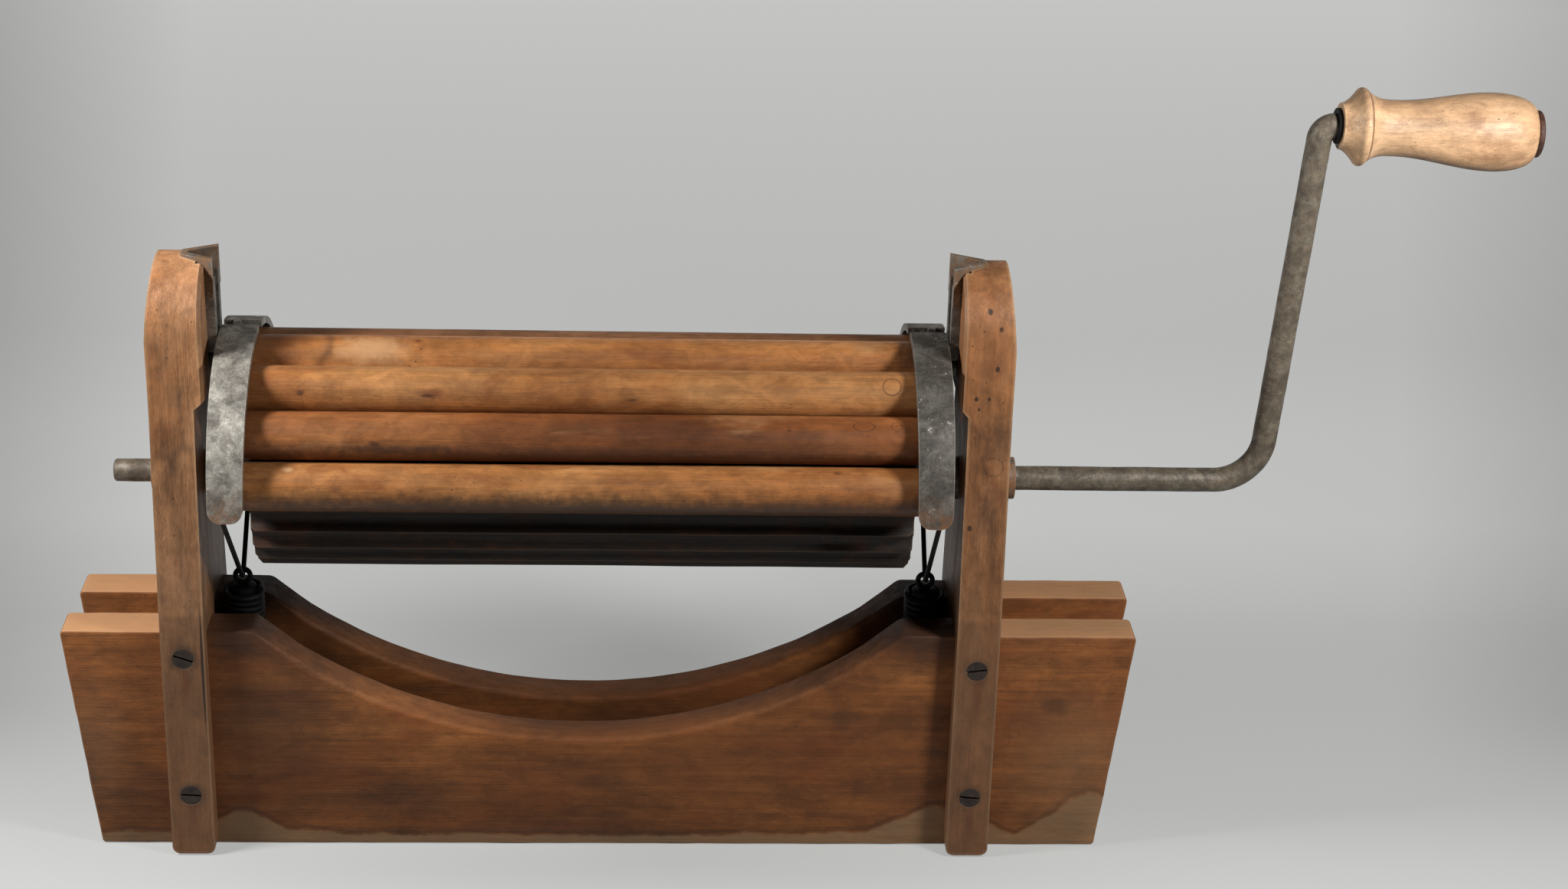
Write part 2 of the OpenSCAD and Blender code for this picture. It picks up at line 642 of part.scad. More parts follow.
module crank() placed("#5d5a54") {
    difference() {
        translate([0, 0, axle_z]) {
            bar_x(rod_r - stub_wear, stub_start_x - stub_len, stub_start_x);
            bar_x(rod_r, stub_start_x, low_corner_x - low_set + bend_bite);
        }
        for (side = [-1, 1]) {
            frame_side(side) collar_pin(run_clear);
            cage_side(side) drive_pin(run_clear);
        }
    }
    crank_rod();
    on_spindle() {
        bar_x(spindle_r, -past, spindle_len);
        bar_x(rivet_r, spindle_len, spindle_len + rivet_h);
    }
}

// Fluted roller, driven by a cross pin near each end
drive_pin_len = roller_d - 4 * flute_depth;
module drive_pin(grow)
    translate([roller_half - drive_pin_in, 0, axle_z])
        cylinder(r = drive_pin_d / 2 + grow, h = drive_pin_len, center = true);
module roller_blank() rotate([0, 90, 0]) rotate_extrude()
    polygon([[0, -roller_half], [roller_r - roller_chamfer, -roller_half],
             [roller_r, -roller_half + roller_chamfer], [roller_r, roller_half - roller_chamfer],
             [roller_r - roller_chamfer, roller_half], [0, roller_half]]);
module fluted_roller() placed("#6f4a2c") difference() {
    translate([cage_x, 0, axle_z]) roller_blank();
    translate([0, 0, axle_z]) {
        bar_x(rod_r + run_clear, -big, big);
        for (i = [0 : flute_count - 1]) rotate([360 * (i + 0.5) / flute_count, 0, 0])
            translate([0, 0, roller_r - flute_depth + flute_r]) bar_x(flute_r, -big, big, $fn = 32);
    }
    for (side = [-1, 1]) cage_side(side) drive_pin(run_clear);
}
module roller_drive_pins() placed("#3f3a36") for (side = [-1, 1]) cage_side(side) drive_pin(0);

// Grip: the curves between its named diameters
grip_collar_power = 1.6;
grip_neck_power = 3;
function grip_r(x) =
    let (e = grip_end_d / 2, b = grip_belly_d / 2, n = grip_neck_d / 2, f = grip_flange_d / 2,
         c = grip_collar_d / 2, f0 = grip_flange_x - grip_flange_w / 2, f1 = f0 + grip_flange_w)
    x < f0 ? c + (f - c) * pow(x / f0, grip_collar_power) :
    x <= f1 ? f :
    x < grip_neck_x ? n + (f - n) * pow((grip_neck_x - x) / (grip_neck_x - f1), grip_neck_power) :
    x < grip_belly_x ? n + (b - n) * (1 - cos(180 * (x - grip_neck_x) / (grip_belly_x - grip_neck_x))) / 2 :
    e + (b - e) * sqrt(max(0, 1 - pow((x - grip_belly_x) / (grip_len - grip_belly_x), 2)));
grip_steps = 60;
module crank_grip() placed("#d2a876") on_spindle() translate([grip_start, 0, 0]) difference() {
    rotate([0, 90, 0]) rotate_extrude($fn = 64)
        polygon(concat([[0, 0]],
            [for (i = [0 : grip_steps]) let (x = grip_len * i / grip_steps) [grip_r(x), x]],
            [[0, grip_len]]));
    bar_x(spindle_r + run_clear, -past, grip_len + past);
}
module grip_washer() placed("#262422") on_spindle() difference() {
    bar_x(grip_washer_d / 2, 0, grip_washer_t);
    bar_x(spindle_r + run_clear, -past, grip_washer_t + past);
}
module grip_end_cap() placed("#5a3324") on_spindle() difference() {
    bar_x(grip_cap_d / 2, cap_start, cap_start + grip_cap_t);
    bar_x(spindle_r + run_clear, 0, spindle_len);
}

// Crown pin and the rods
module crown_pin() placed("#4b4a47") translate([cage_x, 0, crown_z])
    bar_x(crown_pin_r, -crown_pin_half, crown_pin_half);
module crown_rod() placed("#a06a3c") translate([cage_x, 0, crown_z]) difference() {
    bar_x(cage_rod_r, -back_rod_half, back_rod_half);
    bar_x(crown_pin_r + run_clear, -big, big);
}
module at_rod(jaw, k) translate([cage_x, jaw * rod_place(k)[0], axle_z + rod_place(k)[1]]) children();
module cage_rod(jaw, k) placed(jaw < 0 ? "#b0743f" : "#8d5c34") at_rod(jaw, k) {
    half = jaw < 0 ? front_rod_half : back_rod_half;
    difference() {
        bar_x(cage_rod_r, -half, half);
        for (side = [-1, 1]) mirror([side < 0 ? 1 : 0, 0, 0])
            bar_x(gudgeon_r + run_clear, half - gudgeon_in - seat_clear, half + past);
    }
}
module gudgeons(jaw, k) placed("#4f4c48") at_rod(jaw, k) {
    half = jaw < 0 ? front_rod_half : back_rod_half;
    for (side = [-1, 1]) mirror([side < 0 ? 1 : 0, 0, 0])
        bar_x(gudgeon_r, half - gudgeon_in, half + side_clear + plate_t + gudgeon_out);
}
module front_rod_1() cage_rod(-1, 1);
module front_rod_2() cage_rod(-1, 2);
module front_rod_3() cage_rod(-1, 3);
module back_rod_1() cage_rod(1, 1);
module back_rod_2() cage_rod(1, 2);
module back_rod_3() cage_rod(1, 3);
module front_gudgeons_1() gudgeons(-1, 1);
module front_gudgeons_2() gudgeons(-1, 2);
module front_gudgeons_3() gudgeons(-1, 3);
module back_gudgeons_1() gudgeons(1, 1);
module back_gudgeons_2() gudgeons(1, 2);
module back_gudgeons_3() gudgeons(1, 3);

// Straps: a band that arches over the rods' ends, an end plate with the rods' bearings, and a lug
// over_y is where the band starts, measured backwards from the crown for a jaw that faces the front,
// and plate_over_y is where its end plate starts
band_foot_r = 8;
band_waist_r = 40;
band_waist = 0.7;
band_waist_share = 0.3;
plate_foot_rise = 6;
lug_corner_r = lug_w / 2 - 1;
lug_up = 9;
lug_lean = 1.5;
module strap(band_w, over_y, plate_over_y, plate_in, lug_x) {
    foot_out = band_out - band_draw_in;
    foot_in = foot_out - band_foot_w;
    crown_in = band_out - band_w;
    waist_z = axle_z + band_waist * band_out_r;
    crown_top_z = axle_z + band_out_r + past;
    difference() {
        union() {
            intersection() {
                translate([0, 0, axle_z]) difference() {
                    bar_x(band_out_r, 0, big);
                    bar_x(band_in_r, -past, big + past);
                }
                raise_y(-big, over_y)
                    polygon(rounded([[foot_in, band_foot_z], [foot_out, band_foot_z],
                        [band_out - band_draw_in * band_waist_share, waist_z],
                        [band_out, crown_top_z], [crown_in, crown_top_z],
                        [crown_in + (foot_in - crown_in) * band_waist_share, waist_z]],
                        [band_foot_r, band_foot_r, band_waist_r, 0, 0, band_waist_r]));
            }
            raise_x(plate_in, plate_in + plate_t) end_plate(plate_over_y);
            raise_x(lug_x - lug_t / 2, lug_x + lug_t / 2) lug_outline();
        }
        translate([0, 0, crown_z]) bar_x(crown_pin_r + run_clear, 0, big);
        for (k = [1 : jaw_rods])
            translate([0, -rod_place(k)[0], axle_z + rod_place(k)[1]])
                bar_x(gudgeon_r + run_clear, plate_in - past, big);
        translate([0, -lug_y, lug_z]) bar_x(pull_wire / 2 + run_clear, 0, big);
    }
}
module end_plate(over_y) {
    difference() {
        translate([0, axle_z]) circle(r = band_out_r - tiny);
        translate([0, axle_z]) circle(r = plate_in_r);
        translate([over_y, -big]) square([big, 3 * big]);
        translate([-big, -big]) square([2 * big, big + band_foot_z + plate_foot_rise]);
    }
    translate([0, crown_z]) circle(r = eye_r);
}
module lug_outline()
    polygon(rounded([[-lug_y - lug_w / 2 + tiny, lug_z - lug_w / 2], [-lug_y + lug_w / 2, lug_z - lug_w / 2],
        [-lug_y + lug_w / 2, band_foot_z + lug_up], [-lug_y - lug_w / 2 + lug_lean, band_foot_z + lug_up]],
        [lug_corner_r, lug_corner_r, 0, 0]));
module front_strap(side) placed("#57544f") cage_side(side)
    strap(front_band_w, front_band_over, front_band_over, front_plate_in, front_lug_x);
module back_strap(side) placed("#4b4945") cage_side(side) facing(1)
    strap(back_band_w, -back_band_start, -back_band_start + back_plate_over, back_plate_in, back_lug_x);
module left_front_strap() front_strap(-1);
module right_front_strap() front_strap(1);
module left_back_strap() back_strap(-1);
module right_back_strap() back_strap(1);

// Pull wires from the straps' lugs to the eyes on top of the springs, a hair thicker at their bends
knee_swell = 0.05;
knee_out = 3;
wire_past_lug = 2;
module pull_wire_half(jaw, lug_x, wire_x) {
    r = pull_wire / 2;
    low = [spring_x, jaw * wire_end_gap / 2, wire_z];
    knee = [spring_x, jaw * knee_out, wire_z];
    top = [wire_x, jaw * lug_y, lug_z];
    bar_between(low, knee, r);
    translate(knee) sphere(r = r + knee_swell, $fn = 24);
    bar_between(knee, top, r);
    translate(top) sphere(r = r + knee_swell, $fn = 24);
    translate([0, top[1], top[2]]) bar_x(r, lug_x - lug_t / 2 - wire_past_lug, wire_x);
}
module left_front_wire() placed("#2b2927") cage_side(-1) pull_wire_half(-1, front_lug_x, front_wire_x);
module right_front_wire() placed("#2b2927") cage_side(1) pull_wire_half(-1, front_lug_x, front_wire_x);
module left_back_wire() placed("#2b2927") cage_side(-1) pull_wire_half(1, back_lug_x, back_wire_x);
module right_back_wire() placed("#2b2927") cage_side(1) pull_wire_half(1, back_lug_x, back_wire_x);

// Eye on top of each spring, with the plug that the coil grips
module spring_eye() translate([spring_x, 0, 0]) {
    translate([0, 0, plug_top_z - plug_h]) cylinder(r = plug_r, h = plug_h);
    translate([0, 0, spring_eye_z]) rotate([90, 0, 0])
        rotate_extrude($fn = 48) translate([eye_major, 0]) circle(r = eye_wire / 2, $fn = 24);
}
module left_spring_eye() placed("#23211f") cage_side(-1) spring_eye();
module right_spring_eye() placed("#23211f") cage_side(1) spring_eye();

// Springs: one wire from a hook under the anchor pin, up a blend, round the coil to a straight end
tube_sides = 6;
hook_points = 9;
hook_end_a = 20;
hook_sweep = 200;
hook_rise = 12;
blend_points = 9;
coil_lead = 9;
coil_slope = spring_pitch / (360 * PI / 180 * spring_r);
coil_tangent = [0, -1, coil_slope];
coil_first = [-spring_r, 0, coil_start_z];
hook_last = [-hook_r, 0, anchor_z];
blend_low = hook_last + [0, 0, hook_rise];
blend_high = coil_first - coil_lead * coil_tangent;
function bezier(a, b, c, d, t) =
    pow(1 - t, 3) * a + 3 * pow(1 - t, 2) * t * b + 3 * (1 - t) * t * t * c + t * t * t * d;
coil_steps = spring_turns * rings_per_turn;
coil_last_a = 180 + 360 * spring_turns;
coil_last = [spring_r * cos(coil_last_a), spring_r * sin(coil_last_a), coil_end_z];
spring_path = concat(
    [for (i = [0 : hook_points]) let (a = hook_end_a - hook_sweep * i / hook_points)
        [hook_r * cos(a), 0, anchor_z + hook_r * sin(a)]],
    [for (i = [1 : blend_points])
        bezier(hook_last, blend_low, blend_high, coil_first, i / (blend_points + 1))],
    [for (i = [0 : coil_steps]) let (a = 180 + 360 * i / rings_per_turn)
        [spring_r * cos(a), spring_r * sin(a), coil_start_z + spring_pitch * i / rings_per_turn]],
    [coil_last + spring_wire * [0, -1, coil_slope]]);
function least_gap(path, skip) =
    min([for (i = [0 : len(path) - 1 - skip], j = [i + skip : min(i + 3 * skip, len(path) - 1)])
        norm(path[i] - path[j])]) - spring_wire;
echo(least_gap_of_spring_to_itself = least_gap(spring_path, rings_per_turn - 2));

// Rings of a tube along a path, each turned as little as it can be from the one before
function path_dir(path, i) =
    let (a = path[max(i - 1, 0)], b = path[min(i + 1, len(path) - 1)]) (b - a) / norm(b - a);
function flatten_to(v, d) = let (w = v - (v * d) * d) w / norm(w);
function normals(path) =
    [for (i = 0, v = flatten_to([0, 1, 0.01], path_dir(path, 0)); i < len(path);
        i = i + 1, v = i < len(path) ? flatten_to(v, path_dir(path, i)) : v) v];
module tube(path, r, sides) {
    ns = normals(path);
    n = len(path);
    points = [for (i = [0 : n - 1]) let (d = path_dir(path, i), u = ns[i], w = cross(d, u))
        for (k = [0 : sides - 1]) path[i] + r * (cos(360 * k / sides) * u + sin(360 * k / sides) * w)];
    walls = [for (i = [0 : n - 2], k = [0 : sides - 1])
        let (a = i * sides + k, b = i * sides + (k + 1) % sides)
        each [[a, a + sides, b + sides], [a, b + sides, b]]];
    first_cap = [for (k = [1 : sides - 2]) [0, k, k + 1]];
    last_cap = [for (k = [1 : sides - 2]) [(n - 1) * sides, (n - 1) * sides + k + 1, (n - 1) * sides + k]];
    polyhedron(points = points, faces = concat(walls, first_cap, last_cap));
}
module spring() translate([spring_x, 0, 0]) tube(spring_path, spring_wire / 2, tube_sides);
module left_spring() placed("#1f1d1b") cage_side(-1) spring();
module right_spring() placed("#1f1d1b") cage_side(1) spring();

// Pins that anchor the springs between the boards
module anchor_bar(grow)
    translate([spring_x, 0, anchor_z]) rotate([90, 0, 0])
        cylinder(r = anchor_d / 2 + grow, h = board_gap + 2 * anchor_in + 2 * grow, center = true);
module spring_anchor_pins() placed("#3f3a36") for (side = [-1, 1]) cage_side(side) anchor_bar(0);

front_board();
back_board();
left_upright();
right_upright();
upright_screws();
left_guide();
right_guide();
guide_screws();
left_bush();
right_bush();
bush_nails();
axle_collars();
collar_pins();
crank();
fluted_roller();
roller_drive_pins();
grip_washer();
crank_grip();
grip_end_cap();
crown_pin();
crown_rod();
front_rod_1();
front_rod_2();
front_rod_3();
back_rod_1();
back_rod_2();
back_rod_3();
front_gudgeons_1();
front_gudgeons_2();
front_gudgeons_3();
back_gudgeons_1();
back_gudgeons_2();
back_gudgeons_3();
left_front_strap();
right_front_strap();
left_back_strap();
right_back_strap();
left_front_wire();
right_front_wire();
left_back_wire();
right_back_wire();
left_spring_eye();
right_spring_eye();
left_spring();
right_spring();
spring_anchor_pins();
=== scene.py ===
# The looks of a hand-cranked laundry wringer: worn wood, dark iron and the photograph's view of them.
# Lengths are in metres, and MM turns a size in millimetres into one.
import json
from math import acos, asin, cos, degrees, pi, radians, sin, sqrt, tan

import bmesh
import bpy
from mathutils import Matrix, Vector, noise
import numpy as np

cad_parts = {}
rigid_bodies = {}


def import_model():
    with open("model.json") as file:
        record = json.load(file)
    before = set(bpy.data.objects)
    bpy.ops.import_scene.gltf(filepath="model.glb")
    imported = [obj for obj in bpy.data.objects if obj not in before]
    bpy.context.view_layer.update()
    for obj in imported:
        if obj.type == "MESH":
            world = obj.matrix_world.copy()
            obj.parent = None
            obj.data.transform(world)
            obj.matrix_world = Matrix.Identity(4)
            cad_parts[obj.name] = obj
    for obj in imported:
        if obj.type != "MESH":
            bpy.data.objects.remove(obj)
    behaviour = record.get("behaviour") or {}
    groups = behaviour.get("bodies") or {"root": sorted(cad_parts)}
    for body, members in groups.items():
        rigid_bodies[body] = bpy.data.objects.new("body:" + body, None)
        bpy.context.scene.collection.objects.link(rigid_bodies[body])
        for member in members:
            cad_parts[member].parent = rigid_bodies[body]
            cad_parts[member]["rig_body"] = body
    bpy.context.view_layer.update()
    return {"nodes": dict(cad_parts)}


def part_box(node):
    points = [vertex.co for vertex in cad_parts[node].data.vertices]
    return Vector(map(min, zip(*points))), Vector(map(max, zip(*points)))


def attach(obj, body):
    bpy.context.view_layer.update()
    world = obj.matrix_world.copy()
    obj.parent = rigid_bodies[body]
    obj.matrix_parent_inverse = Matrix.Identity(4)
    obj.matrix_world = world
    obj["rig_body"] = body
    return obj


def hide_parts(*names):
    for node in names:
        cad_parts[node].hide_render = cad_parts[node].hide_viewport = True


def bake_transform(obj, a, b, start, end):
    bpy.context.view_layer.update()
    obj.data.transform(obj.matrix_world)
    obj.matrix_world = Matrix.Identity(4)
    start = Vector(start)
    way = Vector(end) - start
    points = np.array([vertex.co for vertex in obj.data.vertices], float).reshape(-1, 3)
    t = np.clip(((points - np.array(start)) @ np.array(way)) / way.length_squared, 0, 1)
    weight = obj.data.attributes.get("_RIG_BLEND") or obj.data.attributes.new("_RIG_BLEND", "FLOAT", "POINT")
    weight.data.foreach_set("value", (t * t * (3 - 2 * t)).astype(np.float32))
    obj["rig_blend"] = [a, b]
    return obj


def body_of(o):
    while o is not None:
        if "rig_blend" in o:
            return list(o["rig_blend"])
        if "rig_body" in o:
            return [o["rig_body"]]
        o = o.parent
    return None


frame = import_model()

scene = bpy.context.scene
MM = 0.001
SIDES = {"left": -1, "right": 1}


# Places and sizes that come from the frame
def middle(node):
    low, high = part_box(node)
    return (low + high) / 2


def extent(node):
    low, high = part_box(node)
    return high - low


axle = middle("fluted_roller")
cage_x = axle.x
crown = middle("crown_rod")
outer_face = {-1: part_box("left_upright")[0].x, 1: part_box("right_upright")[1].x}
frame_x = (outer_face[-1] + outer_face[1]) / 2
board_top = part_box("front_board")[1].z

# The screws' places on the uprights: how far out, how high, and how far below the boards' top
SCREW_OUT = 252.25 * MM
LOW_SCREW_Z = 44.5 * MM
HIGH_SCREW_DROP = {-1: 14 * MM, 1: 19.5 * MM}


# Numbers in even steps
def spread(a, b, count):
    """Numbers from a to b in count even steps, both kept."""
    return [a + (b - a) * i / count for i in range(count + 1)]


def circle(count):
    """The angles of count points round a circle."""
    return [2 * pi * k / count for k in range(count)]


# Materials
def rgb(red, green, blue):
    """A colour, given by its 0 to 255 values, as the shader wants it."""
    def linear(value):
        value /= 255
        return value / 12.92 if value <= 0.04045 else ((value + 0.055) / 1.055) ** 2.4
    return (linear(red), linear(green), linear(blue), 1)


def slid(far):
    """A shift that takes a pattern to a place of its own."""
    return (far, far * 0.7, far * 1.3)


class Paint:
    """A material built up by short calls. A value may be a socket, and a colour is its 0 to 255 values."""

    def __init__(self, name):
        self.material = bpy.data.materials.new(name)
        self.material.use_nodes = True
        self.tree = self.material.node_tree
        self.tree.nodes.clear()
        self.shader = self.add("BsdfPrincipled")
        self.end = self.add("OutputMaterial", {"Surface": self.shader.outputs["BSDF"]})
        self.place = self.add("TexCoord").outputs["Object"]
        self.normal = self.add("NewGeometry").outputs["Normal"]

    def add(self, kind, feeds=(), **settings):
        """A node of that kind with its settings. feeds gives its inputs, by name or number."""
        node = self.tree.nodes.new("ShaderNode" + kind)
        for key, value in settings.items():
            setattr(node, key, value)
        for key, value in dict(feeds).items():
            self.feed(node.inputs[key], value)
        return node

    def feed(self, socket, value):
        if isinstance(value, bpy.types.NodeSocket):
            self.tree.links.new(value, socket)
        else:
            socket.default_value = value

    def math(self, operation, a, b=0, clamp=False):
        return self.add("Math", {0: a, 1: b}, operation=operation, use_clamp=clamp).outputs[0]

    def times(self, a, b):
        return self.math("MULTIPLY", a, b)

    def less(self, a, b):
        return self.math("SUBTRACT", a, b)

    def apart(self, a, b):
        """How far apart two values are."""
        return self.math("ABSOLUTE", self.less(a, b))

    def dot(self, a, b):
        return self.add("VectorMath", {0: a, 1: b}, operation="DOT_PRODUCT").outputs["Value"]

    def axes(self):
        return self.add("SeparateXYZ", {0: self.place}).outputs

    def moved(self, scale=(1, 1, 1), shift=(0, 0, 0)):
        return self.add("Mapping", {"Vector": self.place, "Scale": scale, "Location": shift}).outputs[0]

    def noise(self, place, scale=1, detail=4, rough=0.55, warp=0):
        return self.add("TexNoise", {"Vector": place, "Scale": scale, "Detail": detail, "Roughness": rough,
                                     "Distortion": warp}).outputs["Fac"]

    def cells(self, place, scale=1):
        return self.add("TexVoronoi", {"Vector": place, "Scale": scale}).outputs["Distance"]

    def span(self, value, low, high, to_low=0, to_high=1, kind="SMOOTHSTEP"):
        """Maps low to high onto to_low to to_high, and stops at both ends."""
        feeds = dict(enumerate((value, low, high, to_low, to_high)))
        return self.add("MapRange", feeds, interpolation_type=kind, clamp=True).outputs["Result"]

    def mix(self, share, a, b, blend="MIX"):
        return self.add("Mix", {0: share, 6: a, 7: b}, data_type="RGBA", blend_type=blend).outputs[2]

    def cover(self, share, colour, strength=None):
        """Lays a colour over the paint, as far as its share and strength say."""
        if strength is not None:
            share = self.times(share, strength)
        self.colour = self.mix(share, self.colour, rgb(*colour))

    def dim(self, factor):
        """Multiplies the paint, which brightens it where the factor is over 1."""
        grey = self.add("CombineColor", {0: factor, 1: factor, 2: factor}).outputs[0]
        self.colour = self.mix(1, self.colour, grey, "MULTIPLY")

    def ramp(self, value, stops):
        node = self.add("ValToRGB", {0: value})
        parts = node.color_ramp.elements
        while len(parts) < len(stops):
            parts.new(0.5)
        for part, (at, colour) in zip(parts, stops):
            part.position = at
            part.color = rgb(*colour)
        return node.outputs[0]

    def edges(self, radius, low=0.995, high=0.86):
        """1 on worn edges and 0 on flat stretches."""
        node = self.add("Bevel", {"Radius": radius}, samples=4)
        return self.span(self.dot(node.outputs[0], self.normal), low, high)

    # Painted shade: how shut in a place is, found by ambient occlusion, for darkening crevices.
    def crevices(self, distance, low=0.75, high=0.3):
        node = self.add("AmbientOcclusion", {"Distance": distance}, samples=4, only_local=True)
        return self.span(node.outputs["AO"], low, high)

    def reach(self, centre, radii, ragged, scale):
        """How far out a place is in an ellipsoid. A radius of None leaves that axis out."""
        stretch = [0 if r is None else 1 / r for r in radii]
        shift = [0 if r is None else -c / r for c, r in zip(centre, radii)]
        far = self.add("VectorMath", {0: self.moved(stretch, shift)}, operation="LENGTH").outputs["Value"]
        if ragged:
            wobble = self.times(self.less(self.noise(self.place, scale), 0.5), 2 * ragged)
            far = self.math("ADD", far, wobble)
        return far

    def spot(self, centre, radii, soft, ragged=0, scale=40):
        """1 inside an ellipsoid, falling to 0 at its surface."""
        return self.span(self.reach(centre, radii, ragged, scale), 1, 1 - soft)

    def ring(self, centre, radii, width, ragged=0.06, scale=60):
        """1 on a ring of that relative width round an ellipse."""
        return self.span(self.apart(self.reach(centre, radii, ragged, scale), 1), width, 0)

    def bump(self, height, depth, under=None):
        """A normal for a height of that depth. under is the normal below it."""
        feeds = {"Strength": 1, "Distance": depth, "Height": height}
        if under is not None:
            feeds["Normal"] = under
        return self.add("Bump", feeds).outputs[0]

    def finish(self, roughness, normal=None, metallic=0, specular=0.5):
        for name, value in (("Base Color", self.colour), ("Roughness", roughness), ("Metallic", metallic),
                            ("Specular IOR Level", specular)):
            self.feed(self.shader.inputs[name], value)
        if normal is not None:
            self.feed(self.shader.inputs["Normal"], normal)
        return self.material


class Wood(Paint):
    """Bare beech: soft tones, streaks and fibres along the grain, flecks, grime, specks, worn edges and
    painted shade in its crevices.
    """

    def __init__(self, name, tones, grain, seed, worn, grime, streak=0.5, grimy=0.5, edge_radius=2.5 * MM,
                 edge_wear=0.6):
        super().__init__(name)
        self.grain = grain
        self.seed = seed
        self.draw_grain(tones, streak)
        self.draw_dirt(grime, grimy)
        rub = self.mottle(15, 60, 37)
        rubbed = self.times(self.edges(edge_radius), self.span(rub, 0.2, 0.6, 0.4, 1))
        self.cover(rubbed, worn, edge_wear)
        # Painted shade in the crevices, dark brown where ambient occlusion finds the surface shut in.
        self.cover(self.crevices(9 * MM), (50, 34, 24), 0.6)

    def along(self, with_grain, across, shift):
        """The place scaled along and across the grain."""
        scale = [across] * 3
        scale["XYZ".index(self.grain)] = with_grain
        return self.moved(scale, slid(self.seed * 1.7 + shift))

    def mottle(self, with_grain, across, shift=0, **look):
        """Noise drawn out along the grain."""
        return self.noise(self.along(with_grain, across, shift), **look)

    def draw_grain(self, tones, streak):
        patches = self.mottle(3, 11, detail=5, rough=0.6, warp=0.4)
        self.colour = self.ramp(patches, list(zip((0.3, 0.5, 0.7), tones)))
        bands = self.mottle(2.2, 55, 7, rough=0.6, warp=0.3)
        self.dim(self.span(bands, 0.25, 0.75, 1 - 0.28 * streak, 1 + 0.2 * streak))
        self.streaks = self.mottle(6, 260, 13, detail=5, rough=0.65)
        self.dim(self.span(self.streaks, 0.3, 0.7, 1 - 0.3 * streak, 1 + 0.16 * streak))
        self.fibres = self.mottle(40, 1500, 3, detail=3, rough=0.6)
        self.dim(self.span(self.fibres, 0.3, 0.7, 0.9, 1.07))
        contours = self.mottle(3.5, 210, 47, detail=3, rough=0.5)
        off_line = self.apart(self.math("FRACT", self.times(contours, 9)), 0.5)
        faint = self.mottle(7, 60, 53, detail=2)
        lines = self.times(self.span(off_line, 0.13, 0.03), self.span(faint, 0.35, 0.65))
        self.dim(self.span(lines, 0, 1, 1, 1 - 0.34 * streak))
        fleck = self.cells(self.along(230, 1300, 5))
        flecked = self.mottle(9, 40, 17, detail=2)
        self.flecks = self.times(self.span(fleck, 0.3, 0.16), self.span(flecked, 0.42, 0.6))
        self.dim(self.span(self.flecks, 0, 1, 1, 0.8))

    def draw_dirt(self, grime, grimy):
        dirt = self.mottle(9, 26, 23, detail=8, rough=0.68, warp=0.6)
        self.dirt = self.span(dirt, 0.48, 0.72)
        self.cover(self.dirt, grime, grimy)
        scuffs = self.mottle(60, 95, 43, detail=8, rough=0.7, warp=0.5)
        self.dim(self.span(scuffs, 0.32, 0.66, 0.74, 1.14))
        tint = self.mottle(28, 44, 59, detail=6, rough=0.65, warp=0.4)
        self.cover(self.span(tint, 0.52, 0.7, 0, 0.32), (112, 60, 34))
        speck = self.cells(self.along(110, 150, 29))
        where = self.mottle(12, 20, 31, detail=2)
        specks = self.times(self.span(speck, 0.12, 0.05), self.span(where, 0.5, 0.62))
        self.cover(specks, (52, 36, 26), 0.7)

    def done(self, shine=0.5, depth=1):
        """shine is the mean roughness, and depth scales the bumps."""
        fine = self.bump(self.fibres, 0.12 * MM * depth)
        pores = self.bump(self.times(self.flecks, -1), 0.08 * MM * depth, fine)
        ridges = self.bump(self.streaks, 0.3 * MM * depth, pores)
        dents = self.mottle(25, 45, 41, rough=0.6)
        normal = self.bump(dents, 0.9 * MM * depth, ridges)
        rough = self.span(self.streaks, 0.25, 0.75, shine + 0.1, shine - 0.06)
        rough = self.math("ADD", rough, self.times(self.dirt, 0.12))
        return self.finish(rough, normal, specular=0.4)


class Iron(Paint):
    """Dark iron: mottled greys, fine specks, rust where it is told, and paler worn edges."""

    def __init__(self, name, dark, light, worn, metal, seed, mottle=70, edge_radius=1.2 * MM,
                 edge_wear=0.6):
        super().__init__(name)
        self.metal = metal
        place = self.moved(shift=slid(seed))
        self.cloud = self.noise(place, mottle, detail=7, rough=0.65, warp=0.5)
        self.colour = self.mix(self.span(self.cloud, 0.35, 0.68), rgb(*dark), rgb(*light))
        self.grit = self.noise(place, 900, rough=0.7)
        self.dim(self.span(self.grit, 0.3, 0.7, 0.78, 1.2))
        patch = self.noise(place, 240, detail=7, rough=0.7, warp=0.3)
        self.dim(self.span(patch, 0.3, 0.68, 0.7, 1.3))
        self.cover(self.span(self.cells(place, 420), 0.2, 0.05, 0, 0.6), (38, 30, 26))
        rub = self.noise(place, 110)
        rubbed = self.times(self.edges(edge_radius), self.span(rub, 0.25, 0.6, 0.3, 1))
        self.cover(rubbed, worn, edge_wear)

    def rust(self, share, colour):
        spots = self.noise(self.place, 160, detail=6, rough=0.7)
        share = self.times(share, self.span(spots, 0.3, 0.6))
        self.cover(share, colour)
        self.metal = self.math("SUBTRACT", self.metal, self.times(share, 0.6), clamp=True)

    def done(self, low, high, specular=0.5):
        """low and high are the roughness of the light and the dark mottles."""
        normal = self.bump(self.cloud, 0.5 * MM, self.bump(self.grit, 0.08 * MM))
        return self.finish(self.span(self.cloud, 0.3, 0.7, high, low), normal, self.metal, specular)


# Hills of the boards' wetted band: millimetres along from the uprights' middle, half length, rise
TIDE_HILLS = [(-222, 30, 24), (236, 46, 30), (338, 44, 38)]
# Wide washes on the boards, the first a painted shadow with grime beside the left upright: millimetres along
# from the cage's middle, height, half length, strength, colour
WASHES_AND_SHADOW = [(-196, 96, 70, 0.68, (42, 24, 15)), (-322, 70, 44, 0.3, (152, 118, 86)),
          (318, 60, 60, 0.35, (156, 120, 86)), (60, 70, 120, 0.2, (156, 96, 52))]
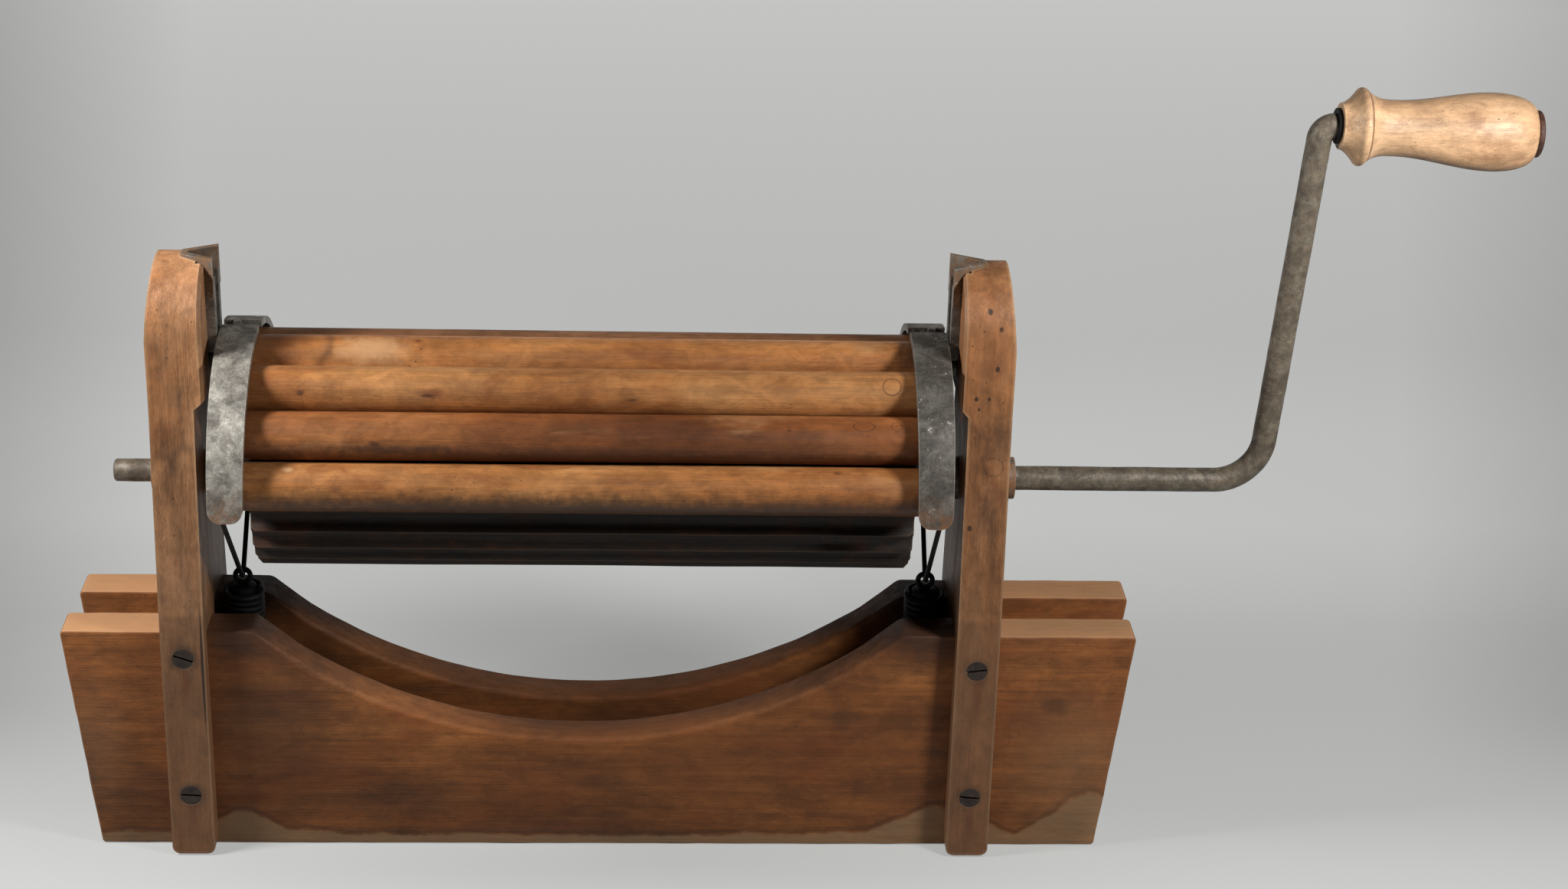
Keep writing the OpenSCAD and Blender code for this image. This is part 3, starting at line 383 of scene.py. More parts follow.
# Dark stains on the boards: along and height as before, half length, half height, strength
STAINS = [(10, 48, 26, 9, 0.4), (168, 97, 20, 8, 0.4), (306, 104, 12, 8, 0.5), (-106, 40, 34, 14, 0.25),
          (-330, 60, 22, 30, 0.35)]


def wet_foot(wood, x, z, seed):
    """A pale wetted band along the boards' foot, under a thin dark line."""
    waves = wood.noise(wood.moved((11, 0, 11), (seed, 0, 0)), detail=6, rough=0.65)
    tide = wood.less(wood.span(waves, 0.25, 0.75, 3 * MM, 13 * MM, "LINEAR"), z)
    for along, half, rise in TIDE_HILLS:
        far = wood.math("DIVIDE", wood.less(x, frame_x + along * MM), half * MM)
        hill = wood.math("EXPONENT", wood.times(wood.math("POWER", far, 2), -1))
        hill = wood.times(hill, wood.span(waves, 0.2, 0.8, 0.6 * rise * MM, 1.3 * rise * MM, "LINEAR"))
        tide = wood.math("MAXIMUM", tide, wood.less(hill, z))
    wood.cover(wood.span(tide, -1 * MM, 2 * MM, 0, 0.6), (166, 136, 102))
    wood.cover(wood.span(wood.apart(tide, -2 * MM), 3 * MM, 0, 0, 0.45), (62, 40, 27))


def board_wood(name, seed):
    """Boards: orange brown with reddish patches, a painted highlight on the tops of their ends, painted shade
    on their tops between the uprights, and painted shadow with grime at the arch's ends and beside the left
    upright.
    """
    wood = Wood(name, [(98, 57, 29), (146, 88, 44), (176, 112, 60)], "X", seed,
                worn=(186, 138, 98), grime=(60, 40, 28))
    red = wood.mottle(9, 30, 61, detail=6, rough=0.65, warp=0.5)
    wood.cover(wood.span(red, 0.5, 0.68, 0, 0.45), (134, 72, 34))
    x, _, z = wood.axes()
    wet_foot(wood, x, z, seed)
    # The first wash paints shadow and grime beside the left upright; the others are tone.
    for along, high, half, strength, colour in WASHES_AND_SHADOW:
        wash_and_shadow = wood.spot((cage_x + along * MM, 0, high * MM), (half * MM, None, 80 * MM), 1, 0.3, 26)
        wood.cover(wash_and_shadow, colour, strength)
    for along, high, half, rise, strength in STAINS:
        stain = wood.spot((cage_x + along * MM, 0, high * MM), (half * MM, None, rise * MM), 0.8, 0.6, 70)
        wood.cover(stain, (58, 38, 27), strength)
    # Painted light on the up-facing faces: a painted highlight on the tops of the ends outside the uprights,
    # and painted shade on the tops between them.
    top = wood.span(wood.dot(wood.normal, (0, 0, 1)), 0.55, 0.95)
    outside = wood.span(wood.apart(x, frame_x), 255 * MM, 262 * MM)
    wood.cover(wood.times(top, outside), (200, 154, 112), 0.65)
    wood.cover(wood.times(top, wood.less(1, outside)), (104, 70, 46), 0.3)
    # Painted shadow, with grime, on the boards at the arch's ends beside the uprights.
    for side in SIDES.values():
        corner = wood.spot((frame_x + side * 214 * MM, 0, board_top), (46 * MM, None, 34 * MM), 0.9, 0.3, 50)
        wood.cover(corner, (44, 29, 21), 0.8)
    return wood.done(shine=0.58)


# Pits in the right upright: millimetres along from the cage's middle, height, size
PITS = [(248, 377, 2), (255, 367, 1.6), (254, 341, 1.8), (242, 321, 1.6), (250, 321, 1.3), (244, 314, 1.2),
        (242, 235, 2)]


def upright_wood(name, side, seed):
    """Uprights: orange tan at the head, browner below, dark round the screws, bright outer arris."""
    wood = Wood(name, [(122, 78, 46), (170, 114, 71), (202, 150, 108)], "Z", seed,
                worn=(212, 172, 132), grime=(58, 42, 32), streak=0.55, grimy=0.7, edge_radius=3.5 * MM,
                edge_wear=0.75)
    z = wood.axes()[2]
    wood.cover(wood.span(z, board_top + 150 * MM, board_top - 20 * MM, 0, 0.4), (96, 70, 50))
    wood.cover(wood.span(z, board_top + 17 * MM, board_top + 13 * MM, 0, 0.3), (84, 62, 46))
    screw_x = frame_x + side * SCREW_OUT
    for high in (LOW_SCREW_Z, board_top - HIGH_SCREW_DROP[side]):
        halo = wood.spot((screw_x, 0, high), (12 * MM, None, 12 * MM), 0.7, 0.35, 90)
        wood.cover(halo, (42, 29, 22), 0.7)
        drip = wood.spot((screw_x + 1 * MM, 0, high - 16 * MM), (4 * MM, None, 18 * MM), 0.8, 0.4, 120)
        wood.cover(drip, (104, 60, 38), 0.55)
    if side < 0:
        crack_at = (cage_x - 241 * MM, -50 * MM, 135 * MM)
        crack = wood.spot(crack_at, (1.1 * MM, 30 * MM, 54 * MM), 0.5, 0.25, 60)
        wood.cover(crack, (28, 20, 16), 0.85)
    else:
        for along, high, size in PITS:
            pit_at = (cage_x + along * MM, 0, high * MM)
            pit = wood.spot(pit_at, (size * MM, None, 1.3 * size * MM), 0.5, 0.3, 200)
            wood.cover(pit, (40, 28, 22), 0.85)
        ring = wood.ring((cage_x + 255 * MM, 0, 276 * MM), (6 * MM, None, 6 * MM), 0.2)
        wood.cover(ring, (70, 48, 34), 0.35)
    return wood.done(depth=1.2)


CAGE_ROD_R = 15.1 * MM
RED, DARK, PALE = (112, 62, 36), (66, 40, 27), (206, 164, 120)
# Marks on the rods, in millimetres and degrees: how, along from the rod's middle, turn up from its front,
# half length, half width, strength, colour
ROD_MARKS = {
    # The crown rod's marks at -194 and 208 are stains and also a painted shadow beneath the straps.
    "crown_rod": [("spot", -194, 60, 36, 26, 0.55, RED), ("ring", -194, 60, 36, 26, 0.5, DARK),
                  ("spot", -133, 50, 32, 14, 0.6, PALE), ("spot", -104, 74, 3.5, 3, 0.8, RED),
                  ("spot", -92, 90, 15, 1, 0.7, RED), ("spot", 208, 60, 22, 24, 0.75, DARK)],
    "front_rod_1": [("spot", -173, 16, 4, 2.5, 0.8, DARK), ("spot", -93, 16, 13, 6, 0.7, RED),
                    ("spot", -96, 12, 6, 1.6, 0.8, DARK), ("spot", 29, 6, 5, 1.6, 0.7, DARK),
                    ("ring", 189, 45, 5.6, 5.6, 0.6, DARK)],
    # front_rod_2's first mark, 400 long at -34 degrees, is a painted shade along its underside.
    "front_rod_2": [("spot", 0, -34, 400, 11, 0.75, DARK), ("spot", -114, -8, 48, 5, 0.6, DARK),
                    ("spot", -126, 5, 5, 3, 0.8, DARK), ("ring", -124, 41, 12, 8, 0.14, RED),
                    ("ring", 36, 25, 6, 4, 0.4, DARK), ("spot", 125, 47, 3, 2, 0.8, DARK),
                    ("ring", 171, 60, 6.5, 3.5, 0.5, DARK), ("ring", 191, 61, 3.3, 3.3, 0.5, DARK)],
    "front_rod_3": [("spot", -179, 69, 5, 3, 0.8, PALE), ("spot", 155, 73, 4, 2, 0.6, DARK),
                    # This long mark at -34 degrees is a painted shade along the rod's underside.
                    ("spot", 0, -34, 400, 17, 0.8, (62, 44, 32))],
}


def rod_wood(node, seed, tones, grimy=0.3, shine=0.44):
    """Cage rods: polished by use, with blotches, stains and a few marks of their own, among them painted
    shade along two rods' undersides and painted shadow at the crown rod's ends.
    """
    wood = Wood(node + "_wood", tones, "X", seed, worn=(190, 142, 98), grime=(92, 60, 38), grimy=grimy,
                edge_wear=0.3)
    blots = wood.mottle(14, 38, 67, detail=7, rough=0.68, warp=0.8)
    wood.cover(wood.span(blots, 0.53, 0.66, 0, 0.45), (130, 72, 36))
    painted_light = wood.mottle(8, 24, 71, detail=5, rough=0.6, warp=0.4)
    wood.cover(wood.span(painted_light, 0.55, 0.72, 0, 0.45), (204, 156, 108))
    for how, along, turn, half, wide, strength, colour in ROD_MARKS.get(node, []):
        up = radians(turn)
        at = middle(node) + Vector((along * MM, -CAGE_ROD_R * cos(up), CAGE_ROD_R * sin(up)))
        radii = (half * MM, wide * MM, wide * MM)
        mark = wood.spot(at, radii, 0.85, 0.5, 160) if how == "spot" else wood.ring(at, radii, 0.16, 0.12, 90)
        wood.cover(mark, colour, strength)
    return wood.done(shine)


def shaded_roller_paint():
    """Fluted roller: dry and nearly black, a painted shade for the shadow it lies in under the rods, and
    paler on its ridges.
    """
    wood = Wood("roller_wood", [(30, 21, 15), (42, 30, 21), (58, 42, 29)], "X", 3,
                worn=(112, 84, 58), grime=(30, 23, 18), streak=0.8, edge_radius=1.6 * MM, edge_wear=0.8)
    return wood.done(shine=0.6, depth=1.3)


def grip_paint():
    """Grip: pale pinkish beech with speckled brown smudges and a thin dark ring at the flange."""
    wood = Wood("grip_wood", [(186, 142, 104), (206, 164, 124), (220, 182, 142)], "X", 5,
                worn=(232, 198, 160), grime=(130, 94, 66), grimy=0.4, edge_wear=0.3)
    start = middle("grip_washer").x
    where = wood.noise(wood.moved(shift=(3, 0, 0)), 46, detail=5, rough=0.6)
    smudge = wood.spot((start + 88 * MM, -20 * MM, axle.z + 240 * MM), [26 * MM] * 3, 0.7, 0.4)
    wood.cover(wood.times(smudge, wood.span(where, 0.4, 0.6)), (128, 86, 56), 0.45)
    dots = wood.cells(wood.place, 520)
    speckle = wood.times(wood.span(dots, 0.3, 0.14), wood.span(where, 0.45, 0.6))
    wood.cover(speckle, (108, 70, 46), 0.6)
    off_ring = wood.apart(wood.axes()[0], start + 17 * MM)
    wood.cover(wood.span(off_ring, 1.1 * MM, 0.3 * MM, 0, 0.7), (84, 54, 36))
    return wood.done(shine=0.46, depth=0.7)


def strap_paint(name, seed, painted_light=1, cup=False):
    """Straps and guides: grey iron with bright specks, rusty at the straps' feet or in the guides' cups.
    painted_light scales the greys, painting light onto a whole copy above 1 and shade below 1.
    """
    dark, light = ([tone * painted_light for tone in tones] for tones in ((92, 89, 83), (148, 144, 135)))
    iron = Iron(name, dark, light, worn=(190, 182, 168), metal=0.5, seed=seed, mottle=60,
                edge_radius=1 * MM, edge_wear=0.8)
    chips = iron.noise(iron.place, 330, detail=2)
    where = iron.noise(iron.place, 50, detail=3)
    chips = iron.times(iron.span(chips, 0.64, 0.7), iron.span(where, 0.48, 0.6))
    iron.cover(chips, (206, 200, 188), 0.8)
    z = iron.axes()[2]
    if cup:
        iron.rust(iron.span(z, axle.z + 122 * MM, axle.z + 140 * MM, 0.1, 0.9), (116, 84, 54))
    else:
        iron.rust(iron.span(z, axle.z + 34 * MM, axle.z + 6 * MM, 0.05, 0.85), (138, 92, 54))
    return iron.done(0.46, 0.6)


def crank_paint():
    iron = Iron("crank_iron", (84, 79, 69), (128, 120, 104), worn=(158, 148, 130), metal=0.35, seed=4,
                mottle=110, edge_wear=0.3)
    iron.rust(0.35, (98, 74, 52))
    return iron.done(0.42, 0.6)


def black_shaded_paint():
    # Black iron, made nearly black also as a painted shade for the springs that sit in shadow.
    iron = Iron("dark_iron", (11, 10, 10), (26, 24, 23), worn=(54, 50, 46), metal=0.3, seed=6,
                edge_wear=0.3)
    return iron.done(0.55, 0.75, specular=0.3)


def rusty_paint():
    iron = Iron("rusty_iron", (54, 33, 26), (88, 56, 42), worn=(116, 82, 62), metal=0.25, seed=7,
                mottle=160)
    return iron.done(0.55, 0.75)


def screw_paint():
    iron = Iron("screw_iron", (30, 25, 22), (60, 50, 43), worn=(104, 90, 78), metal=0.4, seed=8,
                mottle=200, edge_radius=0.6 * MM)
    iron.rust(0.5, (58, 38, 28))
    return iron.done(0.45, 0.65)


# Meshes
AXIS_R = 0.02 * MM


def put(name, data):
    """A new object in the scene."""
    thing = bpy.data.objects.new(name, data)
    scene.collection.objects.link(thing)
    return thing


def place(name, mesh, node, paint, slot, crease=40, rides=True):
    """A piece that stands for a CAD node and rides on its body."""
    mesh.materials.clear()
    mesh.materials.append(paint)
    mesh.shade_smooth()
    mesh.set_sharp_from_angle(angle=radians(crease))
    piece = put(name, mesh)
    if rides:
        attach(piece, body_of(frame["nodes"][node])[0])
    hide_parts(node)
    return piece


def make(name, shell, node, paint, slot, crease=40, rides=True):
    """A piece made of a shell, which is points and faces."""
    points, faces = shell
    mesh = bpy.data.meshes.new(name)
    mesh.from_pydata([tuple(p) for p in points], [], faces)
    mesh.validate()
    return place(name, mesh, node, paint, slot, crease, rides)


def skin(rings, close=False):
    """Points and faces between rings of points. close joins the last ring to the first."""
    count = len(rings[0])
    points = [p for ring in rings for p in ring]
    faces = []
    for i in range(len(rings) if close else len(rings) - 1):
        j = (i + 1) % len(rings)
        for k in range(count):
            m = (k + 1) % count
            faces.append((i * count + k, i * count + m, j * count + m, j * count + k))
    return points, faces


def capped(rings):
    """The skin of the rings with a flat face over each end."""
    points, faces = skin(rings)
    count = len(rings[0])
    last = len(points) - count
    return points, faces + [tuple(reversed(range(count))), tuple(range(last, last + count))]


def softly(p, scale, depth):
    """A wear depth of 0 to depth at a point."""
    return depth * min(1, max(0, 0.5 + 0.9 * noise.noise(Vector(p) * scale)))


def lathe(profile, centre, direction=Vector((1, 0, 0)), sides=64, wear=None, close=False):
    """A skin turned about an axis. profile lists how far along and how far out each ring is."""
    turn = direction.normalized().to_track_quat("X", "Z").to_matrix()
    rings = []
    for along, radius in profile:
        ring = []
        for a in circle(sides):
            out = Vector((0, cos(a), sin(a)))
            r = radius - (wear(along, a) if wear and radius > 0 else 0)
            ring.append(centre + turn @ (Vector((along, 0, 0)) + out * max(r, AXIS_R)))
        rings.append(ring)
    return skin(rings, close)


def sweep(path, radii, sides, wear=None):
    """Rings of a tube along a path, turned as little as can be. radii has one radius for each point."""
    rings = []
    normal = None
    for i, (p, radius) in enumerate(zip(path, radii)):
        ahead = (path[min(i + 1, len(path) - 1)] - path[max(i - 1, 0)]).normalized()
        if normal is None:
            normal = ahead.orthogonal().normalized()
        normal = (normal - ahead * normal.dot(ahead)).normalized()
        across = ahead.cross(normal)
        ring = []
        for a in circle(sides):
            out = normal * cos(a) + across * sin(a)
            ring.append(p + out * (radius - (wear(p + out * radius) if wear else 0)))
        rings.append(ring)
    return rings


def arc(centre, radius, start, end, count):
    """Points of an arc in X and Z, with its angles in degrees."""
    return [Vector((centre[0] + radius * cos(a), 0, centre[1] + radius * sin(a)))
            for a in map(radians, spread(start, end, count))]


def evenly(a, b, step):
    """Points from a to b, both kept, about a step apart."""
    count = max(1, round((b - a).length / step))
    return [a.lerp(b, i / count) for i in range(count + 1)]


# Boards
ARCH_HALF = 207 * MM
ARCH_DEPTH = 76.5 * MM
ARCH_SHIFT = -2 * MM
ARCH_STEPS = 72
ARCH_TRIM = 5
BOARD_FOOT = 653.5 * MM
BOARD_STEP = 9 * MM
CORNER_R = 3 * MM
CORNER_STEPS = 6
ARCH_CORNER_R = 9 * MM
EDGE_R = 1.4 * MM
ARCH_EDGE_R = 4.5 * MM
ARCH_EDGE_GROWS = 25 * MM
ROUND_STEPS = 5


def rounded(corners):
    """An outline in X and Z, each of whose corners (point, radius) is an arc."""
    points = []
    for i, (p, r) in enumerate(corners):
        if r == 0:
            points.append(p)
            continue
        before = (corners[i - 1][0] - p).normalized()
        after = (corners[(i + 1) % len(corners)][0] - p).normalized()
        half = before.angle(after) / 2
        centre = p + (before + after).normalized() * (r / sin(half))
        start = p + before * (r / tan(half)) - centre
        end = p + after * (r / tan(half)) - centre
        whole = start.angle(end)
        for t in spread(0, 1, CORNER_STEPS):
            blend = start * sin((1 - t) * whole) + end * sin(t * whole)
            points.append(centre + blend / sin(whole))
    return points


def board_outline(low, high, arch_x):
    """The outline, anticlockwise from the front. The arch's corners take ARCH_TRIM of its points each."""
    mid = (low.x + high.x) / 2
    radius = (ARCH_HALF ** 2 + ARCH_DEPTH ** 2) / (2 * ARCH_DEPTH)
    half_turn = degrees(asin(ARCH_HALF / radius))
    arch = arc((arch_x, high.z - ARCH_DEPTH + radius), radius, -90 + half_turn, -90 - half_turn, ARCH_STEPS)
    corners = [(Vector((mid - BOARD_FOOT / 2, 0, low.z)), CORNER_R),
               (Vector((mid + BOARD_FOOT / 2, 0, low.z)), CORNER_R),
               (Vector((high.x, 0, high.z)), CORNER_R), (arch[0], ARCH_CORNER_R)]
    corners += [(p, 0) for p in arch[ARCH_TRIM:-ARCH_TRIM]]
    corners += [(arch[-1], ARCH_CORNER_R), (Vector((low.x, 0, high.z)), CORNER_R)]
    points = rounded(corners)
    outline = []
    for i, p in enumerate(points):
        outline += evenly(p, points[(i + 1) % len(points)], BOARD_STEP)[:-1]
    return outline


def board(node, slip, seed):
    """A board with worn round edges, most of all along its arch, which slip moves to the right."""
    low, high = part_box(node)
    arch_x = frame_x + ARCH_SHIFT + slip
    outline = board_outline(low, high, arch_x)
    inward, rounding = [], []
    for i, p in enumerate(outline):
        along = (outline[(i + 1) % len(outline)] - outline[i - 1]).normalized()
        inward.append(Vector((-along.z, 0, along.x)))
        inside = (ARCH_HALF - abs(p.x - arch_x)) / ARCH_EDGE_GROWS
        on_arch = min(1, max(0, inside)) if p.z > low.z + 20 * MM else 0
        rounding.append(EDGE_R + (ARCH_EDGE_R - EDGE_R) * on_arch)
    quarter = spread(0, pi / 2, ROUND_STEPS)
    rings = []
    for face, a in [(1, a) for a in quarter] + [(-1, a) for a in reversed(quarter)]:
        y = low.y if face > 0 else high.y
        ring = []
        for p, into, r in zip(outline, inward, rounding):
            edge = p + into * r * (1 - sin(a))
            edge.y = y + face * r * (1 - cos(a))
            ring.append(edge + into * softly((p.x, y, p.z + seed), 60, 0.5 * MM) * sin(a))
        rings.append(ring)
    make(node + "_worn", capped(rings), node, board_wood(node + "_wood", seed), "board_wood", crease=50)


# Copies of CAD nodes with their sharp edges worn round
MERGE, WIDE_MERGE = 0.002 * MM, 0.2 * MM
FLAT, CREASE = 0.5, 28


def opened(node, merge=MERGE):
    """A CAD node's mesh, open to changes, with points nearer than merge made one."""
    body = bmesh.new()
    body.from_mesh(frame["nodes"][node].data)
    bmesh.ops.remove_doubles(body, verts=body.verts, dist=merge)
    return body


def sharp_edges(body, crease):
    """The edges sharper than crease degrees, once flat faces are joined."""
    bmesh.ops.dissolve_limit(body, angle_limit=radians(FLAT), verts=body.verts, edges=body.edges)
    return [e for e in body.edges if len(e.link_faces) == 2 and e.calc_face_angle(0) > radians(crease)]


def bevel(body, edges, width, steps):
    bmesh.ops.bevel(body, geom=edges, offset=width, offset_type="OFFSET", segments=steps, profile=0.5,
                    affect="EDGES", clamp_overlap=True)


def closed(body, node, paint, slot, crease):
    """The changed mesh as a piece. Large flat faces keep their own shading next to rounded edges."""
    mesh = bpy.data.meshes.new(node + "_soft")
    body.to_mesh(mesh)
    body.free()
    even = place(node + "_worn", mesh, node, paint, slot, crease).modifiers.new("even", "WEIGHTED_NORMAL")
    even.keep_sharp = True
    even.weight = 100


def softened(node, paint, slot, width, wide=None):
    """wide is a test of an edge's middle and a second width for the edges that pass it."""
    body = opened(node, WIDE_MERGE if wide else MERGE)
    sharp = sharp_edges(body, CREASE)
    groups = [(sharp, width)]
    if wide:
        test, wide_width = wide
        chosen = [e for e in sharp if test((e.verts[0].co + e.verts[1].co) / 2)]
        groups = [(chosen, wide_width), ([e for e in sharp if e not in chosen], width)]
    for edges, size in groups:
        edges = [e for e in edges if e.is_valid]
        if edges:
            bevel(body, edges, size, 3)
    closed(body, node, paint, slot, crease=50)


def outer_arris(p, side):
    """Whether a place is on the outline of an upright's outer face, off its slots and the bush's hole."""
    if abs(p.x - outer_face[side]) > 7 * MM:
        return False
    return abs(p.y) > (46 if p.z < board_top + 3 * MM else 30) * MM or p.z > crown.z - 20 * MM


def upright(name, side):
    wood = upright_wood(name + "_upright_wood", side, 6 + side)
    softened(name + "_upright", wood, "upright_wood", 0.8 * MM, wide=(lambda p: outer_arris(p, side), 4 * MM))


def dress(node, paint):
    """A CAD node that keeps its own shape."""
    mesh = frame["nodes"][node].data
    mesh.materials.clear()
    mesh.materials.append(paint)


# Rods
GUDGEON_BORE = 4.05 * MM
GUDGEON_DEPTH = 28.1 * MM
PIN_BORE = 6.05 * MM
ROD_END_R = 1.2 * MM


def rod(node, paint, seed, through=False):
    """A turned rod, bored through for the crown pin or at both ends for its gudgeons."""
    size = extent(node)
    half, radius = size.x / 2, size.z / 2
    nick = 0.3 * ROD_END_R
    outer = [(-half, radius - ROD_END_R), (-half + nick, radius - nick)]
    outer += [(along, radius) for along in spread(-half + ROD_END_R, half - ROD_END_R, 70)]
    outer += [(half - nick, radius - nick), (half, radius - ROD_END_R)]
    if through:
        profile = [(-half, PIN_BORE)] + outer + [(half, PIN_BORE)]
    else:
        deep = half - GUDGEON_DEPTH
        profile = [(-deep, 0), (-deep, GUDGEON_BORE), (-half, GUDGEON_BORE)] + outer
        profile += [(half, GUDGEON_BORE), (deep, GUDGEON_BORE), (deep, 0)]

    def wear(along, a):
        """Shallow hollows everywhere but on the ends."""
        if abs(along) >= half - 0.01 * MM:
            return 0
        spot = Vector((along * 9 + seed * 5, cos(a) * 0.8, sin(a) * 0.8))
        fine = Vector((along * 45 + seed * 3, cos(a) * 2.2, sin(a) * 2.2))
        return max(0, 0.22 * MM * (0.5 + noise.noise(spot)) + 0.06 * MM * (0.5 + noise.noise(fine)))

    shell = lathe(profile, middle(node), sides=56, wear=wear, close=through)
    make(node + "_turned", shell, node, paint, "rod_wood", crease=35)


# Roller
FLUTES = 24
FLUTE_R = 7.2 * MM
FLUTE_DEPTH = 5.6 * MM
AXLE_BORE = 8.05 * MM
ROLLER_CHAMFER = 3 * MM


def flute_outline(radius):
    """How far out the roller's surface is at each angle, as (angle, distance), round the whole roller."""
    cut = radius - FLUTE_DEPTH + FLUTE_R
    meet = acos((radius ** 2 + cut ** 2 - FLUTE_R ** 2) / (2 * radius * cut))
    points = []
    for i in range(FLUTES):
        mid = 2 * pi * (i + 0.5) / FLUTES
        for k in range(9):
            a = meet * (k / 4 - 1)
            far = cut * cos(a) - sqrt(max(0, FLUTE_R ** 2 - (cut * sin(a)) ** 2))
            points.append((mid + a, min(far, radius - (0.25 * MM if k in (0, 8) else 0))))
        ridge = 2 * pi / FLUTES - 2 * meet
        points += [(mid + meet + ridge * t, radius) for t in (0.25, 0.5, 0.75)]
    return points


def roller():
    size = extent("fluted_roller")
    half, radius = size.x / 2, size.z / 2
    outline = flute_outline(radius)
    stations = [(-half, radius - ROLLER_CHAMFER)]
    stations += [(along, radius) for along in spread(-half + ROLLER_CHAMFER, half - ROLLER_CHAMFER, 60)]
    stations.append((half, radius - ROLLER_CHAMFER))
    first, last = ([axle + Vector((end, AXLE_BORE * cos(a), AXLE_BORE * sin(a))) for a, _ in outline]
                   for end in (-half, half))
    rings = [first]
    for along, limit in stations:
        ring = []
        for a, far in outline:
            p = Vector((along, cos(a), sin(a)))
            r = min(far, limit) - softly((along * 0.25, p.y * 0.02, p.z * 0.02), 90, 0.3 * MM)
            ring.append(axle + Vector((along, p.y * r, p.z * r)))
        rings.append(ring)
    shell = skin(rings + [last], close=True)
    make("fluted_roller_turned", shell, "fluted_roller", shaded_roller_paint(), "roller_wood", crease=34)


# Crank: the rod's centre line in X and Z, heights measured from the axle
ROD_R = 8 * MM
SPINDLE_R = 5 * MM
LOW_CORNER = 432.5 * MM
CRANK_THROW = 239 * MM
ARM_LEAN = 4
GRIP_DROOP = 1.5
LOW_BEND_R = 31 * MM
HIGH_BEND_R = 9 * MM
BOSS_FACE = -272 * MM
STUB_R = 7.5 * MM
STUB_LEN = 24.5 * MM
STUB_CHAMFER = 1.2 * MM
CRANK_STEP = 6 * MM
SPINDLE_LEN = 126.5 * MM
GRIP_START = 2.5 * MM


def crank_line():
    """Points along the crank up to its spindle, and the spindle's direction."""
    low_turn = 90 - ARM_LEAN
    high_turn = low_turn + GRIP_DROOP
    low_set = LOW_BEND_R * tan(radians(low_turn / 2))
    high_set = HIGH_BEND_R * tan(radians(high_turn / 2))
    corner = Vector((frame_x + LOW_CORNER, 0, axle.z))
    up = Vector((sin(radians(ARM_LEAN)), 0, cos(radians(ARM_LEAN))))
    out = Vector((cos(radians(GRIP_DROOP)), 0, -sin(radians(GRIP_DROOP))))
    top = corner + up * (CRANK_THROW / cos(radians(ARM_LEAN)))
    start = Vector((frame_x + BOSS_FACE - STUB_LEN, 0, axle.z))
    path = evenly(start, corner - Vector((low_set, 0, 0)), CRANK_STEP)
    path += arc((corner.x - low_set, corner.z + LOW_BEND_R), LOW_BEND_R, -90, -90 + low_turn, 16)[1:]
    path += evenly(path[-1], top - up * high_set, CRANK_STEP)[1:]
    side = Vector((up.z, 0, -up.x))
    centre = path[-1] + side * HIGH_BEND_R
    for a in map(radians, spread(0, high_turn, 10)[1:]):
        path.append(centre - side * HIGH_BEND_R * cos(a) + up * HIGH_BEND_R * sin(a))
    return path, out


def crank(paint):
    """The crank with its riveted spindle. It returns where the spindle starts and its direction."""
    path, out = crank_line()
    spindle = path[-1]
    neck = [(0.3 * MM, ROD_R - 0.6 * MM), (0.8 * MM, SPINDLE_R), (SPINDLE_LEN, SPINDLE_R),
            (SPINDLE_LEN, SPINDLE_R + 1.3 * MM), (SPINDLE_LEN + 0.7 * MM, SPINDLE_R + 1 * MM),
            (SPINDLE_LEN + 1.2 * MM, SPINDLE_R - 1 * MM)]
    radii = [STUB_R if p.x < frame_x + BOSS_FACE else ROD_R for p in path] + [r for _, r in neck]
    radii[0], radii[1] = STUB_R - STUB_CHAMFER, STUB_R - 0.15 * MM
    path[1] = path[0] + Vector((STUB_CHAMFER, 0, 0))
    path += [spindle + out * along for along, _ in neck]

    def wear(p):
        return softly(p, 55, 0.22 * MM) + softly(p, 240, 0.12 * MM)

    make("crank_bent", capped(sweep(path, radii, 28, wear)), "crank", paint, "crank_iron", crease=50)
    return spindle, out


# Grip
GRIP_LEN = 120 * MM
COLLAR_R, FLANGE_R, NECK_R, BELLY_R, GRIP_END_R = 14.2 * MM, 24 * MM, 17.2 * MM, 24.1 * MM, 14.9 * MM
RIM_START, RIM_END, NECK_AT, BELLY_AT = 11.3 * MM, 13.9 * MM, 33 * MM, 95 * MM


def grip_radius(x):
    if x < RIM_START:
        return COLLAR_R + (FLANGE_R - COLLAR_R) * (x / RIM_START) ** 1.6
    if x <= RIM_END:
        return FLANGE_R
    if x < NECK_AT:
        return NECK_R + (FLANGE_R - NECK_R) * ((NECK_AT - x) / (NECK_AT - RIM_END)) ** 3
    if x < BELLY_AT:
        return NECK_R + (BELLY_R - NECK_R) * (1 - cos(pi * (x - NECK_AT) / (BELLY_AT - NECK_AT))) / 2
    rest = (x - BELLY_AT) / (GRIP_LEN - BELLY_AT)
    return GRIP_END_R + (BELLY_R - GRIP_END_R) * sqrt(max(0, 1 - rest ** 2))


def grip(spindle, out, paint):
    bore = SPINDLE_R + 0.05 * MM
    profile = [(0, bore)] + [(x, grip_radius(x)) for x in spread(0, GRIP_LEN, 110)] + [(GRIP_LEN, bore)]
    shell = lathe(profile, spindle + out * GRIP_START, out, close=True)
    make("crank_grip_turned", shell, "crank_grip", paint, "grip_wood", crease=30)


